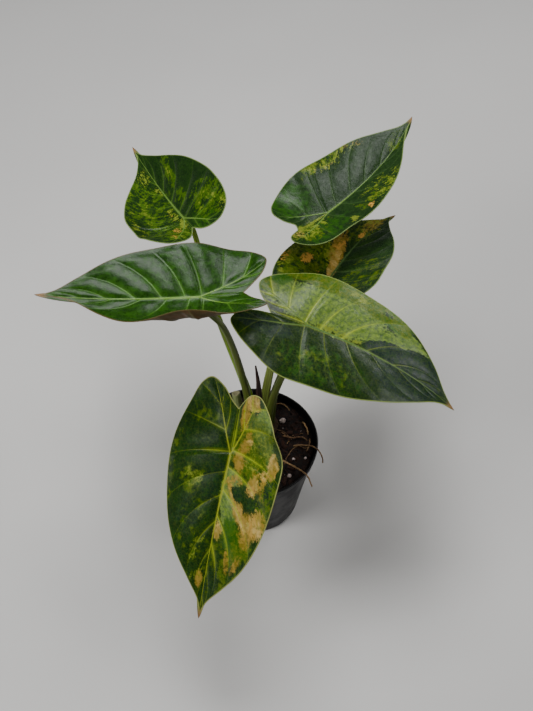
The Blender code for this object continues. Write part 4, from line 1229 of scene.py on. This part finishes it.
def hull(points):
    """The convex skin round some points, as points and faces."""
    form = bmesh.new()
    for point in points:
        form.verts.new(point)
    made = bmesh.ops.convex_hull(form, input=form.verts)
    loose = {item for item in made["geom_interior"] + made["geom_unused"] if isinstance(item, bmesh.types.BMVert)}
    bmesh.ops.delete(form, geom=list(loose), context="VERTS")
    return taken_apart(form)


def bark_bit(draw, place, turn, size, corners):
    """A split flake of bark, as points and faces."""
    points = []
    for _ in range(corners):
        direction = Vector((draw.gauss(0, 1), draw.gauss(0, 1), draw.gauss(0, 1)))
        direction /= max(abs(direction.x), abs(direction.y), abs(direction.z))
        direction *= draw.uniform(0.8, 1.0) / 2
        points.append(place + turn.to_matrix() @ Vector(a * b for a, b in zip(direction, size)))
    return hull(points)


def white_grain(draw, place, width):
    """A rounded, pitted grain, as points and faces."""
    form = bmesh.new()
    bmesh.ops.create_icosphere(form, subdivisions=3, radius=width / 2)
    shift = Vector((draw.uniform(0, 90), draw.uniform(0, 90), draw.uniform(0, 90)))
    stretch = (draw.uniform(0.85, 1.1), draw.uniform(0.8, 1.05), draw.uniform(0.7, 0.9))
    for point in form.verts:
        broad, fine = (hills.noise(point.co * scale / width + shift) for scale in (2.4, 7))
        swell = 1 + 0.28 * broad + 0.14 * fine
        point.co = Vector(a * b for a, b in zip(point.co * swell, stretch)) + place
    return taken_apart(form)


def scattered(draw, radius):
    """A random place on a disc."""
    return polar(radius * math.sqrt(draw.random()), math.tau * draw.random())


def litter_places(count, draw):
    """Seeded places on the mix, apart from each other and clear of the crown and the stub."""
    stub_room = STUB_RADIUS + LITTER_CLEARANCE
    taken = [(*CROWN, STEM_RADIUS + LITTER_CLEARANCE), (*STUB_TOP[:2], stub_room), (*STUB_FOOT[:2], stub_room)]
    places = []
    while len(places) < count:
        x, y = scattered(draw, LITTER_RADIUS)
        if all(math.hypot(x - a, y - b) > room for a, b, room in taken):
            places.append((x, y))
            taken.append((x, y, LITTER_SPACING))
    return places


def build_litter(pot, mix):
    """Bark chips, crumbs, white grains and roots on the mix."""
    level = mix.level / MM
    edge = mix_edge(pot, mix, SOLID_PLAY)
    draw = random.Random(SEED)
    places = litter_places(CHIP_COUNT + GRAIN_COUNT, draw)
    tilt = math.radians(CHIP_TILT)
    bark, grains = Heap(), Heap()
    chips = []
    for x, y in places[:CHIP_COUNT]:
        long = draw.uniform(*CHIP_LENGTH)
        turn = Euler((draw.uniform(-tilt, tilt), draw.uniform(-tilt, tilt), draw.uniform(0, math.tau)))
        chips.append((x, y, long, turn))
    grain_sizes = [(x, y, draw.uniform(*GRAIN_WIDTH)) for x, y in places[CHIP_COUNT:]]
    for x, y, long, turn in chips:
        place = Vector((x, y, level + relief(x, y, edge) + CHIP_LIFT * long))
        bit = bark_bit(draw, place, turn, (long, CHIP_WIDTH * long, CHIP_DEPTH * long), CHIP_CORNERS)
        bark.add(*bit, draw.random())
    for _ in range(mix.crumb_count):
        x, y = scattered(draw, edge - 1.5)
        long = draw.uniform(*CRUMB_LENGTH) * draw.uniform(0.5, 1.0)
        if math.hypot(x - CROWN[0], y - CROWN[1]) > STEM_RADIUS - 2:
            place = Vector((x, y, bed_height(mix, x, y, edge) + 0.1 * long))
            turn = Euler([draw.uniform(-1, 1), draw.uniform(-1, 1), draw.uniform(0, math.tau)])
            size = (long, long * draw.uniform(0.35, 0.8), long * draw.uniform(0.2, 0.5))
            bark.add(*bark_bit(draw, place, turn, size, CRUMB_CORNERS), draw.random())
    for number, (x, y, width) in enumerate(LARGE_GRAINS + grain_sizes):
        place = Vector((x, y, level + relief(x, y, edge) + GRAIN_LIFT * width))
        heap = grains if number < WHITE_GRAINS else bark
        heap.add(*white_grain(draw, place, width * 1.08), draw.random())
    for _ in range(mix.dust_count):
        x, y = scattered(draw, edge - 2)
        width = draw.uniform(*DUST_WIDTH)
        place = Vector((x, y, bed_height(mix, x, y, edge) + 0.3 * width))
        grains.add(*bark_bit(draw, place, Euler((0, 0, 0)), [width] * 3, DUST_CORNERS), draw.random())
    new_piece("bark_chips", bark.points, bark.faces, [mix_finish(mix, "bark_skin", 0.15)], "potting_mix",
              {"tone": bark.tones}, sharp=25)
    look = Finish("white_grain_skin")
    place = look.node("TexCoord", output="Object")
    _, (tone, _, _) = look.attribute("tone")
    pits = look.noise(place, 1500.0, 3.0, 0.6)
    stain = look.noise(place, 420.0, 3.0, 0.6)
    colour = look.layers(mix.grain, (stain, 0.45, 0.75, 0.0, 0.8, GRAIN_STAIN))
    colour = look.mix(look.math("MULTIPLY", tone, 0.35), colour, GRAIN_SHADE)
    finish = look.finish(colour, 0.85, pits, 0.35 * MM)
    new_piece("white_grains", grains.points, grains.faces, [finish], "potting_mix",
              {"tone": grains.tones})


def build_roots(pot, mix):
    """Tan roots that run over the mix and dip back into it, with finer ones between them."""
    level = mix.level / MM
    edge = mix_edge(pot, mix, SOLID_PLAY)
    draw = random.Random(SEED + 1)
    routes = [(radius, [(x, y, level + z) for x, y, z in route]) for radius, route in ROOTS]
    for _ in range(mix.fine_roots):
        angle = draw.uniform(0, math.tau)
        x, y = polar(draw.uniform(*FINE_ROOT_START), angle)
        heading = draw.uniform(0, math.tau)
        route = [(x, y, level - 3)]
        for _ in range(draw.randint(*FINE_ROOT_STEPS)):
            heading += draw.uniform(-FINE_ROOT_TURN, FINE_ROOT_TURN)
            ahead, aside = polar(FINE_ROOT_STEP, heading)
            x, y = x + ahead, y + aside
            if math.hypot(x, y) > edge - 3:
                break
            route.append((x, y, bed_height(mix, x, y, edge) + draw.uniform(0.2, 1.2)))
        ahead, aside = polar(1.5, heading)
        route.append((x + ahead, y + aside, level - 4))
        routes.append((draw.uniform(*FINE_ROOT_RADIUS), route))
    points, faces, tones = [], [], []
    for radius, route in routes:
        way = spline(route, 10)
        wiggle = np.array([[hills.noise(Vector(place) * 0.3), hills.noise(Vector(place[::-1]) * 0.3), 0.0]
                           for place in way])
        way = way + 0.5 * wiggle
        tone = draw.random() * (0.1 if radius >= PALE_ROOT else 1.0)

        def reach_at(share, angle, radius=radius):
            return radius * (1 - 0.35 * share) * (1 + 0.06 * np.sin(2 * angle) + 0.08 * np.sin(40 * share))

        rings, _, _ = sweep_points(way, reach_at, ROOT_SIDES, np.tile((0.2, 0.3, 1.0), (len(way), 1)))
        faces += capped_faces(len(way), ROOT_SIDES, len(points))
        points += [tuple(point) for point in rings.reshape(-1, 3)]
        tones += [(tone, 0.0, 0.0)] * (ROOT_SIDES * len(way))
    look = Finish("root_skin")
    place = look.node("TexCoord", output="Object")
    _, (tone, _, _) = look.attribute("tone")
    grain = look.noise(place, 500.0, 4.0, 0.65)
    fine = look.noise(place, 1800.0, 3.0, 0.6)
    colour = look.mix(look.math("ADD", look.math("MULTIPLY", tone, 0.6), look.ramp(grain, 0.3, 0.7, 0.0, 0.5)),
                      mix.root, ROOT_SHADE)
    finish = look.finish(colour, 0.7, look.math("ADD", grain, fine), 0.3 * MM)
    return new_piece("surface_roots", points, faces, [finish], "potting_mix", {"tone": tones})


def colour_property(name, description, value):
    """A setting for a colour."""
    return FloatVectorProperty(name=name, description=description, default=value, subtype="COLOR", size=3,
                               min=0.0, max=1.0)


def length_property(name, description, value):
    """A setting for a length, from its default in millimetres."""
    return FloatProperty(name=name, description=description, default=value * MM, min=0.0, unit="LENGTH",
                         subtype="DISTANCE", precision=5)


class PotSettings(PropertyGroup):
    """Sizes and finish of the pot."""

    rim_radius: FloatProperty(
        name="Rim radius", description="Outer radius of the rolled rim", default=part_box("pot")[1][0],
        unit="LENGTH", subtype="DISTANCE")
    height: FloatProperty(
        name="Height", description="Base to rim", default=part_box("pot")[1][2], unit="LENGTH", subtype="DISTANCE")
    base_radius: length_property("Base radius", "Radius where the wall meets the base", 43.0)
    wall: length_property("Wall", "Thickness of the wall", 1.2)
    band_height: length_property("Band height", "Height of the stepped band under the rim", 9.0)
    plastic: colour_property("Plastic", "Colour of the moulded plastic", (0.006, 0.006, 0.0065))
    roughness: FloatProperty(name="Roughness", description="Roughness of the plastic", default=0.42, min=0, max=1)


class MixSettings(PropertyGroup):
    """Sizes and colours of the potting mix."""

    level: length_property("Level", "Height of the mix's top above the table", 92.0)
    crumb_count: IntProperty(name="Crumbs", description="Number of small bark crumbs", default=900, min=0)
    dust_count: IntProperty(name="White crumbs", description="Number of small white crumbs", default=16, min=0)
    fine_roots: IntProperty(name="Fine roots", description="Number of thin extra roots", default=16, min=0)
    peat: colour_property("Peat", "Darkest tone of the mix", (0.0035, 0.0018, 0.0012))
    bark: colour_property("Bark", "Lightest tone of the bark", (0.045, 0.018, 0.010))
    fibre: colour_property("Fibre", "Colour of the bark's fibres", (0.11, 0.055, 0.03))
    grain: colour_property("Grains", "Colour of the white grains", (0.86, 0.73, 0.68))
    root: colour_property("Roots", "Colour of the roots", (0.62, 0.39, 0.17))


class StalkSettings(PropertyGroup):
    """Sizes and colours of the petioles, the sheath, the stub and the stem base."""

    foot_radius: length_property("Foot radius", "Radius of a petiole at the crown", 4.2)
    top_radius: length_property("Top radius", "Radius of a petiole under its blade", 2.3)
    wing_height: length_property("Wing height", "Height of the sheath's wings", 1.5)
    olive: colour_property("Olive", "Main colour of the petioles", (0.13, 0.175, 0.022))
    pale: colour_property("Pale", "Colour of the palest petiole", (0.25, 0.32, 0.06))
    # Painted light: the first petiole's colour is brightened where the leaves above shade it.
    lit_petiole: colour_property("Lit_petiole", "Colour of the brightened petiole", (0.24, 0.40, 0.025))
    shade: colour_property("Shade", "Colour of the lengthwise streaks", (0.055, 0.085, 0.008))
    withered: colour_property("Withered", "Colour of the dry sheath", (0.035, 0.012, 0.010))
    stub: colour_property("Stub", "Colour of the cut stub", (0.36, 0.43, 0.16))
    stem: colour_property("Stem", "Colour of the stem base", (0.12, 0.075, 0.035))


class BladeSettings(PropertyGroup):
    """Sizes and colours of the blades."""

    thickness: length_property("Thickness", "Thickness of the blade between its veins", 0.75)
    quilting: length_property("Quilting", "Height of the puffed tissue between the side veins", 1.5)
    rib_width: length_property("Rib width", "Half width of the midrib at the junction", 0.9)
    deep: colour_property("Deep green", "Darkest tone of the green tissue", (0.006, 0.020, 0.004))
    bright: colour_property("Bright green", "Saturated green wash", (0.022, 0.095, 0.002))
    moss: colour_property("Moss", "Darker tone of the olive mottling", (0.045, 0.115, 0.004))
    olive: colour_property("Olive", "Lighter tone of the olive mottling", (0.12, 0.155, 0.006))
    pale: colour_property("Pale green", "Lighter tone of the pale patches", (0.22, 0.33, 0.045))
    grey: colour_property("Grey green", "Darker tone of the pale patches", (0.085, 0.135, 0.055))
    lime: colour_property("Lime", "Lime flecks", (0.21, 0.26, 0.025))
    ochre: colour_property("Ochre", "Darker tone of the ochre patches", (0.22, 0.16, 0.015))
    tan: colour_property("Tan", "Lighter tone of the ochre patches", (0.46, 0.27, 0.05))
    cream: colour_property("Cream", "Cream patches", (0.62, 0.44, 0.14))
    orange: colour_property("Orange", "Orange flecks", (0.62, 0.33, 0.06))
    slate: colour_property("Slate", "Dark patches in the paler ones", (0.013, 0.028, 0.020))
    tip: colour_property("Tip", "Colour of the drip tip", (0.30, 0.17, 0.07))
    under: colour_property("Underside", "Colour of the underside", (0.135, 0.060, 0.018))


class StageSettings(PropertyGroup):
    """Floor and light."""

    floor: colour_property("Floor", "Colour of the floor", (0.66, 0.65, 0.63))
    power: FloatProperty(name="Light", description="Power of the main light", default=16.0, min=0.0, unit="POWER")
    sky: FloatProperty(name="Sky", description="Strength of the even light", default=0.08, min=0.0)


class ALOCASIA_OT_pot(Operator):
    """Builds the nursery pot"""

    bl_idname = "alocasia.pot"
    bl_label = "Pot"

    def execute(self, context):
        build_pot(context.scene.alocasia_pot)
        return {"FINISHED"}


class ALOCASIA_OT_mix(Operator):
    """Builds the bed of potting mix, its bark, grains and roots"""

    bl_idname = "alocasia.mix"
    bl_label = "Potting mix"

    def execute(self, context):
        pot, mix = context.scene.alocasia_pot, context.scene.alocasia_mix
        build_bed(pot, mix)
        build_litter(pot, mix)
        build_roots(pot, mix)
        return {"FINISHED"}


class ALOCASIA_OT_crown(Operator):
    """Builds the stem base, the withered sheath and the cut stub"""

    bl_idname = "alocasia.crown"
    bl_label = "Crown"

    def execute(self, context):
        stalks = context.scene.alocasia_stalks
        build_stem_base(stalks)
        build_sheath(stalks)
        build_stub(stalks)
        return {"FINISHED"}


class ALOCASIA_OT_petioles(Operator):
    """Builds the six petioles"""

    bl_idname = "alocasia.petioles"
    bl_label = "Petioles"

    def execute(self, context):
        for leaf in LEAVES:
            build_petiole(leaf, context.scene.alocasia_stalks)
        return {"FINISHED"}


class ALOCASIA_OT_blades(Operator):
    """Builds the six blades"""

    bl_idname = "alocasia.blades"
    bl_label = "Blades"

    def execute(self, context):
        for leaf in LEAVES:
            build_leaf(leaf, context.scene.alocasia_blades)
        return {"FINISHED"}


def soft_light(name, place, target, width, depth, power, mirrored):
    """A rectangular soft box that faces a point, and that shiny surfaces show or don't."""
    light = bpy.data.lights.new(name, "AREA")
    light.shape = "RECTANGLE"
    light.size = width
    light.size_y = depth
    light.energy = power
    lamp = bpy.data.objects.new(name, light)
    lamp.location = place
    lamp.visible_glossy = mirrored
    lamp.rotation_euler = (Vector(target) - Vector(place)).to_track_quat("-Z", "Y").to_euler()
    bpy.context.scene.collection.objects.link(lamp)


class ALOCASIA_OT_stage(Operator):
    """Lays the floor and sets the lights and the camera"""

    bl_idname = "alocasia.stage"
    bl_label = "Stage"

    def execute(self, context):
        settings = context.scene.alocasia_stage
        mesh = bpy.data.meshes.new("floor")
        corners = [(x * FLOOR_REACH, y * FLOOR_REACH, 0) for x, y in ((-1, -1), (1, -1), (1, 1), (-1, 1))]
        mesh.from_pydata(corners, [], [(0, 1, 2, 3)])
        look = Finish("plain_floor")
        place = look.node("TexCoord", output="Object")
        cloud = look.noise(place, 3.0, 2.0, 0.5)
        lighter = tuple(min(1.0, 1.04 * part) for part in settings.floor)
        mesh.materials.append(look.finish(look.layers(settings.floor, (cloud, 0.35, 0.65, lighter)), 0.8))
        ground = bpy.data.objects.new("floor", mesh)
        context.scene.collection.objects.link(ground)
        for name, place, target, width, depth, share, mirrored in LAMPS:
            soft_light(name, place, target, width, depth, settings.power * share, mirrored)
        world = bpy.data.worlds.new("studio")
        world.use_nodes = True
        sky = world.node_tree.nodes["Background"].inputs
        sky[0].default_value = SKY_TINT
        sky[1].default_value = settings.sky
        context.scene.world = world
        lens = bpy.data.cameras.new("camera")
        lens.lens = LENS
        lens.sensor_width = SENSOR
        camera = bpy.data.objects.new("camera", lens)
        camera.location = CAMERA_PLACE
        camera.rotation_euler = (math.radians(CAMERA_TILT), 0.0, 0.0)
        context.scene.collection.objects.link(camera)
        context.scene.camera = camera
        return {"FINISHED"}


class ALOCASIA_PT_panel(Panel):
    """Sizes, colours and pieces of the potted alocasia"""

    bl_idname = "ALOCASIA_PT_panel"
    bl_label = "Potted alocasia"
    bl_space_type = "VIEW_3D"
    bl_region_type = "UI"
    bl_category = "Alocasia"

    def draw(self, context):
        for title, group, operator in SECTIONS:
            box = self.layout.box()
            settings = getattr(context.scene, group)
            for name in settings.__annotations__:
                box.prop(settings, name)
            box.operator(operator, text=title)


SECTIONS = (
    ("Pot", "alocasia_pot", "alocasia.pot"),
    ("Potting mix", "alocasia_mix", "alocasia.mix"),
    ("Crown", "alocasia_stalks", "alocasia.crown"),
    ("Petioles", "alocasia_stalks", "alocasia.petioles"),
    ("Blades", "alocasia_blades", "alocasia.blades"),
    ("Stage", "alocasia_stage", "alocasia.stage"),
)
GROUPS = {
    "alocasia_pot": PotSettings,
    "alocasia_mix": MixSettings,
    "alocasia_stalks": StalkSettings,
    "alocasia_blades": BladeSettings,
    "alocasia_stage": StageSettings,
}
CLASSES = (
    *GROUPS.values(), ALOCASIA_OT_pot, ALOCASIA_OT_mix, ALOCASIA_OT_crown, ALOCASIA_OT_petioles,
    ALOCASIA_OT_blades, ALOCASIA_OT_stage, ALOCASIA_PT_panel,
)


def register():
    """Adds the classes and the scene's settings."""
    for item in CLASSES:
        bpy.utils.register_class(item)
    for name, group in GROUPS.items():
        setattr(bpy.types.Scene, name, PointerProperty(type=group))


def unregister():
    """Takes the settings and the classes away again."""
    for name in GROUPS:
        delattr(bpy.types.Scene, name)
    for item in reversed(CLASSES):
        bpy.utils.unregister_class(item)


def main():
    """Builds every piece."""
    register()
    bpy.ops.alocasia.stage()
    bpy.ops.alocasia.pot()
    bpy.ops.alocasia.mix()
    bpy.ops.alocasia.crown()
    bpy.ops.alocasia.petioles()
    bpy.ops.alocasia.blades()


if __name__ == "__main__":
    main()
